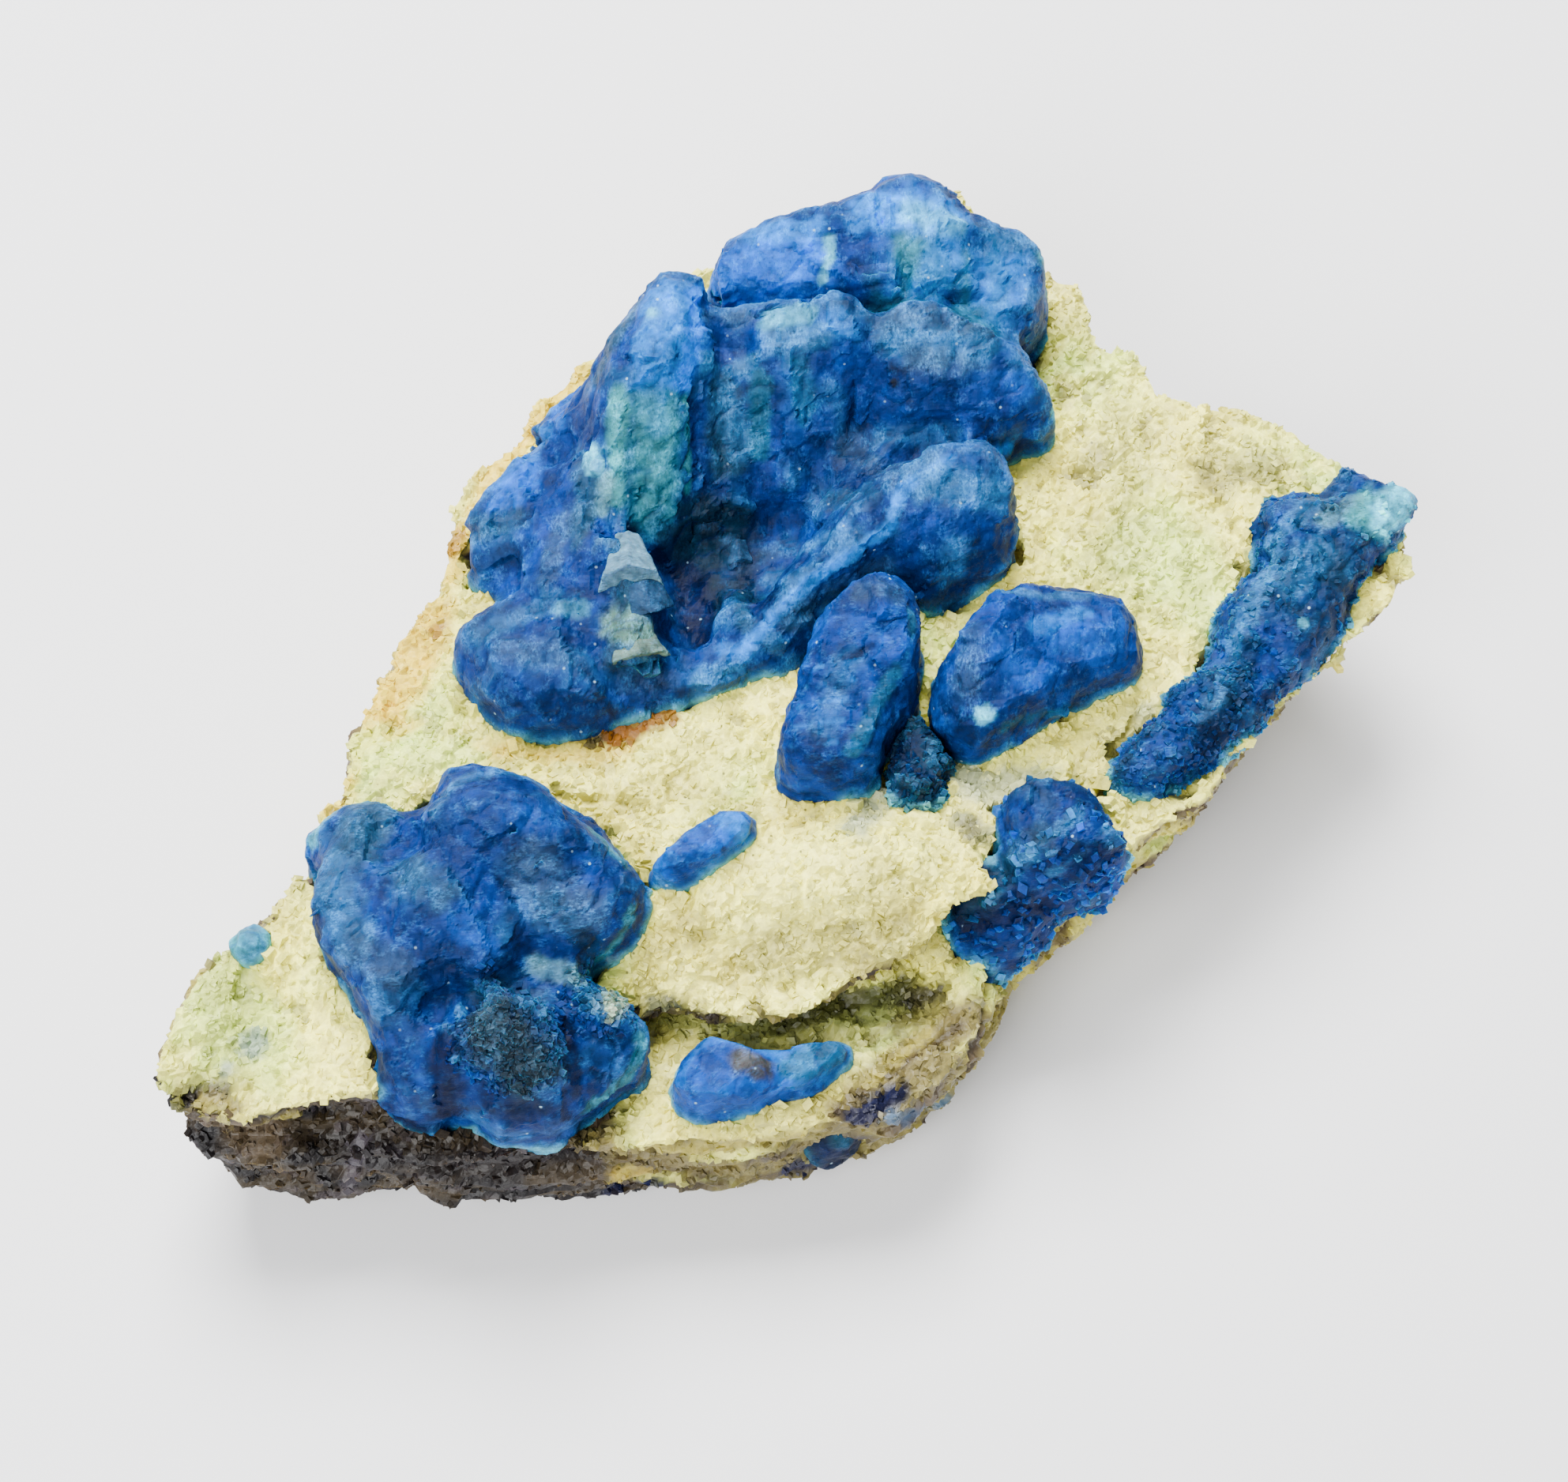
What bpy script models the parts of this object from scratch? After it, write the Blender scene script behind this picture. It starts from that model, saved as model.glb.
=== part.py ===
"""Hackmanite crystals on a calcite marble matrix, about 77 mm from tip to tip, lying on its back.

The origin is on the flat patch of the back that the specimen rests on, +Z is up through the
crystal face, and +X runs towards the pointed right tip. All values below are in millimetres.
"""

import math

import bmesh
import bpy
from mathutils import Vector, noise
from mathutils.bvhtree import BVHTree

MM = 0.001

# Matrix levels: the crystal face, the recessed shelf, and the groove that undercuts the ledge.
FACE = 13.2
SHELF = 9.2
GROOVE_TOP = 11.2
GROOVE_DEPTH = 1.9
WAIST = 0.975
BELOW_REST = 0.6
BACK_RELIEF = 0.9
REST_PATCH = 6.0

# How far the back has broken away towards the right tip, the left tip and the far end.
LIFT_RIGHT = 7.0
LIFT_LEFT = 0.9
LIFT_FAR = 4.0

# Natural relief: rise, length across and height of one wave.
WALL_LAYERS = (1.1, 11.0, 1.6)
WALL_LUMPS = (1.3, 5.3, 5.3)
FACE_WAVES = (0.35, 2.9, 1.0)
BACK_BREAKS = (1.9, 7.7, 1.0)
BACK_CHIPS = (0.9, 2.7, 1.0)
SKIN_SIZE = 1.6
SKIN_RISE = 0.3

# Resolution and triangle counts.
MATRIX_VOXEL = 0.55
CRYSTAL_VOXEL = 0.4
SOCKET_VOXEL = 0.5
GAP = 0.3
SOCKET_GROWTH = 0.4
NEAR = 0.8
PUSH = 0.15
SOCKET_TRIANGLES = 0.18
FEWEST_TRIANGLES = 80
MATRIX_TRIANGLES = 2120

# Rim of the face, clockwise from the left tip, with the notch, the spike and the two tips.
RIM = [
    (-33.3, -22.8), (-33.1, -20.3), (-32.4, -17.8), (-31.2, -15.8), (-29.6, -14.2), (-28.4, -13.0),
    (-27.7, -13.3), (-27.2, -11.6), (-26.5, -9.6), (-25.8, -7.8), (-24.6, -6.4), (-24.2, -4.8),
    (-24.4, -3.0), (-23.8, -1.5), (-23.0, 0.5), (-22.2, 2.6), (-21.2, 3.6), (-20.2, 5.8),
    (-19.6, 8.2), (-19.5, 10.2), (-19.2, 12.0), (-17.8, 13.8), (-16.3, 15.2), (-15.3, 16.8),
    (-13.9, 18.8), (-12.6, 20.6), (-10.6, 22.4), (-8.0, 24.8), (-5.2, 27.4), (-2.0, 28.6),
    (2.0, 30.2), (5.0, 31.6), (7.5, 32.4), (9.6, 32.0), (11.2, 30.4), (12.8, 29.0),
    (14.8, 28.6), (15.6, 27.4), (16.1, 25.6), (16.4, 25.4), (16.8, 27.0), (17.3, 27.0),
    (17.9, 24.4), (18.1, 21.9), (19.6, 22.3), (21.0, 20.9), (22.1, 19.0), (23.2, 18.2),
    (25.6, 18.6), (28.5, 17.3), (29.8, 16.6), (31.2, 14.8), (33.2, 13.4), (34.6, 12.5),
    (35.4, 11.6), (35.6, 9.8), (35.4, 7.6), (34.8, 6.2), (32.9, 4.1), (29.8, 0.6),
    (26.4, -2.7), (24.9, -4.2), (23.5, -6.2), (22.4, -7.5), (19.2, -9.0), (17.8, -11.0),
    (15.4, -12.3), (12.6, -12.6), (9.4, -13.4), (8.2, -14.6), (7.4, -15.8), (5.2, -16.8),
    (4.2, -16.8), (2.5, -18.2), (1.2, -19.1), (-2.6, -19.3), (-4.8, -18.6), (-6.6, -17.9),
    (-7.8, -18.6), (-9.4, -21.0), (-11.4, -23.4), (-12.4, -24.9), (-15.0, -25.3), (-18.0, -25.0),
    (-21.0, -23.8), (-24.0, -24.1), (-28.0, -24.9), (-30.6, -24.8), (-32.4, -24.2),
]

# Lower slab, under the ledge: it runs on below the rim as the shelf and the layered side wall.
FOOT = [
    (-32.2, -22.0), (-31.6, -18.0), (-29.6, -14.4), (-25.8, -7.8), (-23.0, -2.0), (-20.0, 4.6),
    (-17.6, 11.2), (-13.0, 18.0), (-7.0, 23.4), (-1.0, 27.0), (6.0, 30.2), (11.0, 28.8),
    (15.0, 25.0), (18.0, 20.0), (23.0, 17.0), (28.0, 15.0), (32.0, 12.0), (33.4, 8.6),
    (29.4, 2.2), (24.4, -3.4), (19.4, -8.0), (16.6, -10.8), (13.4, -13.2), (11.6, -15.2),
    (11.4, -17.2), (10.2, -19.6), (8.6, -21.6), (6.2, -23.4), (3.0, -24.6), (-0.6, -25.2),
    (-4.0, -25.5), (-8.0, -25.7), (-11.0, -25.9), (-14.0, -26.4), (-18.0, -26.5), (-21.0, -26.2),
    (-25.0, -26.4), (-29.0, -26.2), (-31.4, -25.2),
]

# Swells and hollows of the face: centre x, y, half widths x, y, rise.
SWELLS = [
    (3.0, -11.6, 8.0, 3.6, 2.2), (5.5, -9.0, 5.0, 2.6, 0.7), (-1.0, -17.6, 9.0, 2.4, -1.4),
    (-28.0, -20.4, 6.5, 6.0, -0.9), (-28.2, -18.4, 1.8, 1.5, -1.1), (-22.6, 0.4, 3.4, 6.0, -0.6),
    (-5.0, -6.5, 9.0, 2.4, -0.4), (22.0, 11.5, 9.0, 6.0, 0.5), (9.0, 30.4, 6.0, 3.4, 2.2),
    (16.6, 23.0, 1.8, 3.4, 0.8), (30.5, 5.0, 6.0, 5.0, -0.3), (-16.6, -5.2, 6.0, 1.2, 0.5),
    (12.0, -9.5, 3.0, 2.6, -0.7), (-8.0, -20.0, 3.0, 4.0, -1.6), (-31.5, -23.5, 4.0, 2.6, -1.2),
]

# Pits: centre x, y, z, half width, depth.
PITS = [
    (7.2, -16.9, 9.6, 1.3, 1.6), (-18.9, 3.0, 13.0, 0.7, 0.9), (-8.6, -4.4, 13.2, 0.8, 0.5),
    (33.4, 7.6, 13.4, 0.8, 0.7), (23.4, -5.6, 12.4, 0.7, 0.7),
]


def new_collection(name):
    """A collection of its own, linked to the scene."""
    group = bpy.data.collections.new(name)
    bpy.context.scene.collection.children.link(group)
    return group


def finish_material(name, colour, roughness, weight=0.0):
    """A Principled finish: base colour, roughness and how much light enters the stone."""
    material = bpy.data.materials.new(name)
    material.use_nodes = True
    shader = material.node_tree.nodes["Principled BSDF"]
    shader.inputs["Base Color"].default_value = (*colour, 1.0)
    shader.inputs["Roughness"].default_value = roughness
    shader.inputs["Metallic"].default_value = 0.0
    shader.inputs["Subsurface Weight"].default_value = weight
    material.diffuse_color = (*colour, 1.0)
    return material


def object_from(bm, name, group):
    """Turns a bmesh into a named object with its normals pointing out."""
    bmesh.ops.recalc_face_normals(bm, faces=bm.faces)
    mesh = bpy.data.meshes.new(name)
    bm.to_mesh(mesh)
    bm.free()
    made = bpy.data.objects.new(name, mesh)
    group.objects.link(made)
    return made


def middle(outline):
    """The centre of an outline's box."""
    xs = [x for x, _ in outline]
    ys = [y for _, y in outline]
    return (min(xs) + max(xs)) / 2, (min(ys) + max(ys)) / 2


def tier_ring(outline, tier, lean):
    """The corners of one tier: its height, its scales about the middle, and its shift in x and y.

    The lean tilts the tier, in millimetres of height per millimetre along x and y.
    """
    cx, cy = middle(outline)
    height, sx, sy, dx, dy = tier
    ring = []
    for x, y in outline:
        px = cx + (x - cx) * sx + dx
        py = cy + (y - cy) * sy + dy
        ring.append((px, py, height + (px - cx) * lean[0] + (py - cy) * lean[1]))
    return ring


def tiered(outline, tiers, lean=(0.0, 0.0)):
    """All the rings of a crystal that narrows evenly; the two lowest stay level."""
    return [tier_ring(outline, tier, lean if step > 1 else (0.0, 0.0))
            for step, tier in enumerate(tiers)]


def rooted(outline, root, waist, *upper):
    """All the rings of a crystal whose upper corners are given one by one."""
    foot = tier_ring(outline, (root, 0.95, 0.95, 0.0, 0.0), (0.0, 0.0))
    return [foot, [(x, y, waist) for x, y in outline], *upper]


def draw_up(bm, rings):
    """Draws a face up from ring to ring into one closed solid."""
    corners = [bm.verts.new(Vector(corner) * MM) for corner in rings[0]]
    face = bm.faces.new(corners)
    for ring in rings[1:]:
        start = [vert.co.copy() for vert in corners]
        grown = bmesh.ops.extrude_face_region(bm, geom=[face])["geom"]
        face = next(part for part in grown if isinstance(part, bmesh.types.BMFace))
        corners = [min(face.verts, key=lambda vert: (vert.co - spot).length) for spot in start]
        for vert, corner in zip(corners, ring):
            vert.co = Vector(corner) * MM


def block(root, top, crown=1.3, swell=1.0, shoulder=0.95, cap=0.7, slide=(0.0, 0.0)):
    """The usual tiers of a stubby crystal: a sunk root, a full waist, a shoulder and a cap."""
    waist = root + 0.4 * (top - root)
    return [
        (root, 0.92, 0.92, 0.0, 0.0),
        (waist, swell, swell, 0.2 * slide[0], 0.2 * slide[1]),
        (top - crown, shoulder, shoulder, 0.8 * slide[0], 0.8 * slide[1]),
        (top, cap, cap, slide[0], slide[1]),
    ]


def triangles(mesh):
    """How many triangles a mesh has."""
    return sum(len(face.vertices) - 2 for face in mesh.polygons)


def apply_all(made):
    """Replaces an object's mesh with the one its modifiers give."""
    graph = bpy.context.evaluated_depsgraph_get()
    mesh = bpy.data.meshes.new_from_object(made.evaluated_get(graph))
    made.modifiers.clear()
    old = made.data
    made.data = mesh
    bpy.data.meshes.remove(old)


def remesh(made, voxel):
    """Joins everything in the object into one skin of even faces."""
    skin = made.modifiers.new("skin", "REMESH")
    skin.mode = "VOXEL"
    skin.voxel_size = voxel * MM
    apply_all(made)


def soften(made, factor, repeat):
    """Rounds the edges as weathering does."""
    smooth = made.modifiers.new("soften", "SMOOTH")
    smooth.factor = factor
    smooth.iterations = repeat
    apply_all(made)


def thin_out(made, target):
    """Brings the mesh down to about the target number of triangles."""
    thin = made.modifiers.new("thin", "DECIMATE")
    thin.decimate_type = "COLLAPSE"
    thin.use_collapse_triangulate = True
    thin.ratio = min(1.0, target / triangles(made.data))
    apply_all(made)


def keep_largest(made):
    """Drops crumbs that a cut has left loose, and keeps the main body."""
    bm = bmesh.new()
    bm.from_mesh(made.data)
    left = set(bm.verts)
    bodies = []
    while left:
        todo = [left.pop()]
        body = set(todo)
        while todo:
            for edge in todo.pop().link_edges:
                for vert in edge.verts:
                    if vert not in body:
                        body.add(vert)
                        todo.append(vert)
        left -= body
        bodies.append(body)
    bodies.sort(key=len)
    crumbs = [vert for body in bodies[:-1] for vert in body]
    bmesh.ops.delete(bm, geom=crumbs, context="VERTS")
    bm.to_mesh(made.data)
    bm.free()


def roughen(made, size, rise, seed):
    """Moves each point along its normal by smooth noise of one size, in millimetres."""
    offset = Vector((seed * 17.3, seed * 5.1, seed * 9.7))
    normals = [vert.normal.copy() for vert in made.data.vertices]
    for vert, normal in zip(made.data.vertices, normals):
        vert.co += normal * noise.noise(vert.co / (size * MM) + offset) * rise * MM


def socket_for(made, group):
    """The cutter of a piece's own socket: a plain copy that clears the piece by the gap all over."""
    cutter = bpy.data.objects.new(made.name + "_socket", made.data.copy())
    group.objects.link(cutter)
    normals = [vert.normal.copy() for vert in cutter.data.vertices]
    for vert, normal in zip(cutter.data.vertices, normals):
        vert.co += normal * SOCKET_GROWTH * MM
    remesh(cutter, SOCKET_VOXEL)
    thin_out(cutter, max(FEWEST_TRIANGLES, SOCKET_TRIANGLES * triangles(made.data)))
    keep_clear(cutter, made)
    cutter.hide_render = True
    cutter.display_type = "WIRE"
    return cutter


def keep_clear(cutter, made):
    """Pushes the socket's corners out until the whole piece lies inside it by the gap."""
    points = [vert.co.copy() for vert in made.data.vertices]
    points += [face.center.copy() for face in made.data.polygons]
    for _ in range(6):
        corners = [vert.co.copy() for vert in cutter.data.vertices]
        faces = [tuple(face.vertices) for face in cutter.data.polygons]
        tree = BVHTree.FromPolygons(corners, faces)
        lack = {}
        for point in points:
            spot, normal, index, distance = tree.find_nearest(point)
            depth = math.copysign(distance, (spot - point).dot(normal))
            if distance < NEAR * MM and depth < GAP * MM:
                for corner in faces[index]:
                    lack[corner] = max(lack.get(corner, 0.0), GAP * MM - depth)
        normals = [vert.normal.copy() for vert in cutter.data.vertices]
        for corner, distance in lack.items():
            cutter.data.vertices[corner].co += normals[corner] * min(distance, PUSH * MM)
        cutter.data.update()


def cut_away(made, cutters):
    """Cuts the sockets out of an object, and drops the crumbs."""
    for cutter in cutters:
        cut = made.modifiers.new(cutter.name, "BOOLEAN")
        cut.operation = "DIFFERENCE"
        cut.solver = "EXACT"
        cut.object = cutter
        apply_all(made)
    keep_largest(made)


def smooth_step(low, high, value):
    """0 below low, 1 above high, and an even curve between."""
    t = min(1.0, max(0.0, (value - low) / (high - low)))
    return t * t * (3.0 - 2.0 * t)


def face_height(x, y):
    """Height of the crystal face over a point."""
    height = FACE
    for cx, cy, wx, wy, rise in SWELLS:
        height += rise * math.exp(-(((x - cx) / wx) ** 2) - ((y - cy) / wy) ** 2)
    return height


def waves(relief, x, y, z):
    """Smooth random relief at a point: its rise, its length across and its height come first."""
    rise, length, height = relief
    return rise * noise.noise(Vector((x / length, y / length, z / height)))


def back_height(x, y):
    """How far the broken back has lifted off the surface below: most at the right tip."""
    right = LIFT_RIGHT * smooth_step(13.0, 36.0, x)
    left = LIFT_LEFT * smooth_step(22.0, 34.0, -x)
    far = LIFT_FAR * smooth_step(16.0, 33.0, y)
    outside = smooth_step(REST_PATCH, 2.5 * REST_PATCH, math.hypot(x, y + 4.0))
    breaks = waves(BACK_BREAKS, x, y, 11.0) + waves(BACK_CHIPS, x, y, 17.0)
    return right + left + far + outside * (BACK_RELIEF + breaks)


def shape_matrix_point(co):
    """Moves one point of the plain stack of slabs to its place in the natural matrix."""
    x, y, z = co / MM
    level = (z + BELOW_REST) / (FACE + BELOW_REST)
    low = back_height(x, y) - BELOW_REST
    z = low + level * (face_height(x, y) - low)
    side = math.sin(math.pi * min(1.0, max(0.0, level)))
    push = side * (waves(WALL_LAYERS, x, y, z) + waves(WALL_LUMPS, x, y, z + 16.0))
    reach = math.hypot(x, y) + MM
    x += push * x / reach
    y += push * y / reach
    z += waves(FACE_WAVES, x, y, 7.0) * smooth_step(0.3, 0.9, level)
    for px, py, pz, width, depth in PITS:
        near = math.exp(-((x - px) ** 2 + (y - py) ** 2 + (z - pz) ** 2) / width ** 2)
        z -= depth * near
    return Vector((x, y, z)) * MM


def groove_outline():
    """The rim's outline drawn in a little, and drawn in deep along the ledge."""
    outline = []
    for x, y in RIM:
        ledge = smooth_step(12.0, 15.0, -y) * smooth_step(11.0, 7.5, abs(x))
        outline.append((x * WAIST, y * WAIST + GROOVE_DEPTH * ledge))
    return outline


def make_matrix(group):
    """The marble: an upper slab with the ledge, a groove under it and a wider lower slab."""
    bm = bmesh.new()
    draw_up(bm, tiered(RIM, [(GROOVE_TOP, 0.99, 0.99, 0.0, 0.0), (FACE, 1.0, 1.0, 0.0, 0.0)]))
    draw_up(bm, tiered(groove_outline(), [(SHELF - 1.0, 1.0, 1.0, 0.0, 0.0),
                                          (FACE - 1.0, 1.0, 1.0, 0.0, 0.0)]))
    draw_up(bm, tiered(FOOT, [(-BELOW_REST, 0.9, 0.9, 0.0, -0.6), (1.8, 0.98, 0.98, 0.0, -0.2),
                              (SHELF, 1.0, 1.0, 0.0, 0.0)]))
    made = object_from(bm, "matrix", group)
    remesh(made, MATRIX_VOXEL)
    soften(made, 0.5, 1)
    for vert in made.data.vertices:
        vert.co = shape_matrix_point(vert.co)
    roughen(made, SKIN_SIZE, SKIN_RISE, 2)
    thin_out(made, MATRIX_TRIANGLES)
    flat_rest(made)
    return made


def flat_rest(made):
    """Cuts the back off flat at zero, which is the patch that the specimen rests on."""
    bm = bmesh.new()
    bm.from_mesh(made.data)
    everything = bm.verts[:] + bm.edges[:] + bm.faces[:]
    cut = bmesh.ops.bisect_plane(bm, geom=everything, dist=1e-7, plane_co=(0, 0, 0),
                                 plane_no=(0, 0, 1), clear_inner=True)
    rim = [part for part in cut["geom_cut"] if isinstance(part, bmesh.types.BMEdge)]
    bmesh.ops.holes_fill(bm, edges=rim, sides=0)
    bmesh.ops.recalc_face_normals(bm, faces=bm.faces)
    bm.to_mesh(made.data)
    bm.free()


# Crystals of the upper cluster. Each is its outline, then its tiers and lean, or its upper corners.
UPPER = {
    "back_left_mass": tiered(
        [(-4.9, 23.8), (-4.4, 25.4), (-2.2, 27.0), (0.0, 26.9), (1.8, 27.8), (3.4, 28.6), (4.0, 26.0),
         (3.2, 22.8), (0.0, 22.0), (-3.6, 22.0)],
        block(11.5, 18.5, crown=1.6, shoulder=0.9, cap=0.55, slide=(0.0, 0.8)), (0.0, 0.05)),
    "back_dome": tiered(
        [(3.4, 27.8), (4.8, 29.6), (6.6, 30.3), (8.6, 29.7), (10.2, 28.3), (11.0, 26.6), (10.6, 22.3),
         (8.5, 21.0), (5.5, 21.4), (4.0, 23.6)],
        block(11.5, 20.7, crown=2.0, shoulder=0.9, cap=0.55, slide=(0.0, 0.5)), (0.0, 0.1)),
    "back_right_columns": tiered(
        [(9.9, 27.2), (11.5, 27.4), (13.6, 27.0), (14.5, 25.8), (15.0, 24.2), (15.0, 22.4),
         (13.9, 20.6), (12.0, 19.8), (10.2, 20.4)],
        block(11.5, 18.9, crown=1.0, shoulder=0.95, cap=0.74), (-0.06, 0.12)),
    "shelf_left": rooted(
        [(-4.2, 19.8), (-4.0, 17.8), (-1.4, 17.4), (1.0, 17.8), (1.6, 20.6), (-0.4, 21.6), (-3.0, 21.2)],
        11.5, 14.5,
        [(-4.3, 19.8, 18.6), (-4.0, 18.6, 18.2), (-1.4, 18.4, 18.4), (0.9, 18.8, 18.8),
         (1.4, 20.5, 19.0), (-0.4, 21.4, 18.9), (-3.0, 21.0, 18.6)],
        [(-3.8, 20.0, 19.6), (-3.4, 19.4, 19.5), (-1.4, 19.4, 20.0), (0.4, 19.7, 20.3),
         (0.8, 20.4, 20.2), (-0.5, 20.8, 20.1), (-2.8, 20.5, 19.7)]),
    "shelf_blue_knob": tiered(
        [(0.9, 20.6), (2.2, 21.4), (3.8, 21.0), (4.9, 19.4), (4.6, 17.4), (2.6, 16.4), (1.0, 17.8)],
        block(11.5, 21.3, crown=1.4, cap=0.62, slide=(0.0, 0.2)), (0.0, 0.0)),
    "shelf_middle": rooted(
        [(4.2, 19.6), (6.5, 21.0), (8.4, 21.2), (10.4, 20.4), (12.0, 18.6), (11.2, 15.6), (8.8, 14.4),
         (6.2, 14.6), (4.2, 16.0)],
        11.5, 14.8,
        [(4.4, 19.4, 19.2), (6.5, 20.8, 19.8), (8.4, 21.0, 19.7), (10.4, 20.1, 19.3),
         (11.8, 18.4, 18.6), (11.0, 16.2, 18.0), (8.8, 15.4, 18.2), (6.2, 15.6, 18.4),
         (4.4, 16.8, 18.6)],
        [(5.2, 18.9, 20.4), (6.8, 20.3, 21.4), (8.4, 20.4, 21.2), (9.8, 19.6, 20.7),
         (10.7, 18.3, 20.0), (10.0, 17.0, 19.5), (8.6, 16.4, 19.5), (6.6, 16.6, 19.7),
         (5.2, 17.4, 20.0)]),
    "shelf_right": rooted(
        [(9.6, 18.4), (10.8, 19.8), (12.6, 19.2), (14.0, 18.2), (14.9, 16.9), (15.2, 15.6),
         (14.7, 14.7), (13.4, 14.6), (11.8, 14.0), (9.6, 14.0)],
        11.5, 14.2,
        [(9.8, 18.2, 18.4), (10.8, 19.5, 18.8), (12.5, 18.9, 18.5), (13.9, 17.9, 17.8),
         (14.8, 16.7, 17.0), (15.0, 15.7, 16.4), (14.4, 15.0, 16.2), (13.2, 14.9, 16.6),
         (11.8, 14.6, 17.0), (9.8, 14.6, 17.4)],
        [(10.4, 17.8, 19.6), (10.9, 18.8, 20.0), (12.2, 18.2, 19.6), (13.2, 17.2, 18.8),
         (13.8, 16.5, 18.0), (13.8, 16.0, 17.5), (13.4, 15.7, 17.5), (12.8, 15.6, 17.8),
         (11.8, 15.6, 18.2), (10.4, 15.8, 18.6)]),
    "shelf_front": tiered(
        [(2.8, 17.0), (3.6, 14.6), (5.4, 13.4), (8.0, 13.2), (10.2, 13.6), (12.0, 14.4), (11.4, 17.0),
         (8.0, 18.4), (4.0, 18.4)],
        [(11.5, 0.95, 0.95, 0.0, 0.0), (14.2, 1.0, 1.0, 0.0, 0.0), (18.4, 0.9, 0.45, 0.0, 1.2)]),
    "tall_left": rooted(
        [(-12.3, 9.8), (-10.6, 7.9), (-7.4, 7.7), (-5.9, 9.4), (-5.1, 14.0), (-4.9, 19.6),
         (-8.6, 21.0), (-12.0, 15.6)],
        11.5, 14.0,
        [(-11.2, 14.8, 18.6), (-10.0, 13.0, 19.4), (-7.0, 12.8, 19.8), (-5.7, 13.8, 20.0),
         (-5.0, 17.0, 20.6), (-4.5, 22.0, 20.9), (-7.8, 21.8, 20.2), (-10.7, 17.8, 19.0)],
        [(-9.9, 16.0, 20.9), (-9.2, 15.0, 21.2), (-7.3, 14.9, 21.5), (-6.5, 15.6, 21.7),
         (-5.9, 17.8, 22.2), (-5.5, 21.6, 22.5), (-7.1, 21.5, 21.8), (-9.2, 18.4, 21.1)]),
    "tall_left_flank": tiered(
        [(-11.6, 13.6), (-11.3, 16.6), (-9.9, 18.8), (-8.4, 19.4), (-8.2, 14.6), (-10.6, 12.6)],
        block(11.5, 19.0, crown=1.8, shoulder=0.88, cap=0.45, slide=(0.8, 0.8))),
    "pale_flank": rooted(
        [(-12.0, 8.2), (-11.8, 12.0), (-10.8, 14.0), (-9.6, 14.0), (-9.4, 10.0), (-9.6, 6.6),
         (-10.8, 6.4)],
        11.5, 14.6,
        [(-11.3, 9.4, 16.6), (-11.2, 12.2, 17.6), (-10.7, 13.7, 18.2), (-9.9, 13.6, 18.4),
         (-9.7, 10.2, 17.6), (-9.9, 7.6, 16.4), (-10.7, 7.6, 16.0)]),
    "grey_column": tiered(
        [(-5.2, 11.4), (-3.6, 10.2), (-1.8, 10.6), (-1.7, 14.0), (-1.7, 18.4), (-3.4, 18.8),
         (-5.0, 18.4)],
        [(11.5, 0.95, 0.95, 0.0, 0.0), (13.8, 1.0, 1.0, 0.0, 0.0), (17.6, 0.96, 0.5, 0.0, 2.0),
         (18.7, 0.86, 0.24, 0.0, 2.8)]),
    "teal_column": tiered(
        [(-2.0, 12.4), (-0.5, 11.2), (1.8, 11.8), (2.8, 14.6), (2.2, 19.2), (0.0, 20.0), (-1.8, 19.6)],
        [(11.5, 0.95, 0.95, 0.0, 0.0), (14.0, 1.0, 1.0, 0.0, 0.0), (18.4, 0.92, 0.5, 0.0, 2.0),
         (20.0, 0.84, 0.28, -0.2, 2.8)]),
    "slope_right_of_hollow": tiered(
        [(1.6, 9.6), (2.0, 13.6), (3.4, 16.4), (6.4, 16.2), (9.0, 14.6), (8.6, 11.4), (5.6, 10.6),
         (3.4, 8.8)],
        [(11.5, 0.95, 0.95, 0.0, 0.0), (13.6, 1.0, 1.0, 0.0, 0.0), (15.4, 0.8, 0.6, 0.3, 1.4)],
        (-0.05, 0.2)),
    "hollow_floor": tiered(
        [(-13.0, 3.0), (-11.0, 0.6), (-6.0, 1.0), (-4.0, 2.0), (-1.5, 4.4), (2.0, 8.0), (8.0, 11.4),
         (9.4, 14.6), (6.0, 17.0), (-3.0, 23.4), (-7.6, 21.6), (-10.4, 16.0), (-13.4, 9.0)],
        [(11.0, 0.98, 0.98, 0.0, 0.0), (12.3, 0.98, 0.98, 0.0, 0.0)]),
    "left_edge_lobe": tiered(
        [(-17.9, 6.4), (-17.8, 8.6), (-17.8, 10.4), (-16.9, 11.7), (-15.8, 12.7), (-14.8, 14.0),
         (-14.0, 14.7), (-13.0, 14.2), (-12.4, 12.4), (-13.4, 10.6), (-14.4, 8.6), (-14.8, 6.4),
         (-16.6, 5.9)],
        block(11.0, 15.8, crown=1.3, cap=0.68)),
    "left_upper_lobe": tiered(
        [(-13.7, 14.8), (-12.5, 16.3), (-11.0, 18.0), (-10.2, 18.0), (-10.0, 16.5), (-10.2, 14.8),
         (-12.0, 14.2), (-13.4, 14.2)],
        block(11.0, 16.8, crown=1.4, cap=0.6)),
    "frosted_left": tiered(
        [(-14.7, 6.6), (-14.2, 9.2), (-13.2, 11.4), (-12.0, 13.4), (-10.4, 13.4), (-10.0, 10.0),
         (-10.6, 7.0), (-11.2, 5.2), (-12.8, 4.6), (-14.0, 5.2)],
        block(11.0, 17.0, crown=1.4, cap=0.62), (0.12, 0.05)),
    "blue_slab_left": tiered(
        [(-12.8, 5.0), (-12.3, 7.6), (-11.2, 8.4), (-10.4, 7.2), (-10.6, 4.8), (-11.8, 4.2)],
        block(11.0, 17.4, crown=1.0, cap=0.6, slide=(0.3, 0.4))),
    "white_tip": rooted(
        [(-10.7, 4.4), (-10.4, 6.2), (-9.4, 7.4), (-8.2, 6.6), (-7.0, 5.0), (-6.5, 3.6), (-6.9, 2.8),
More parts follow.
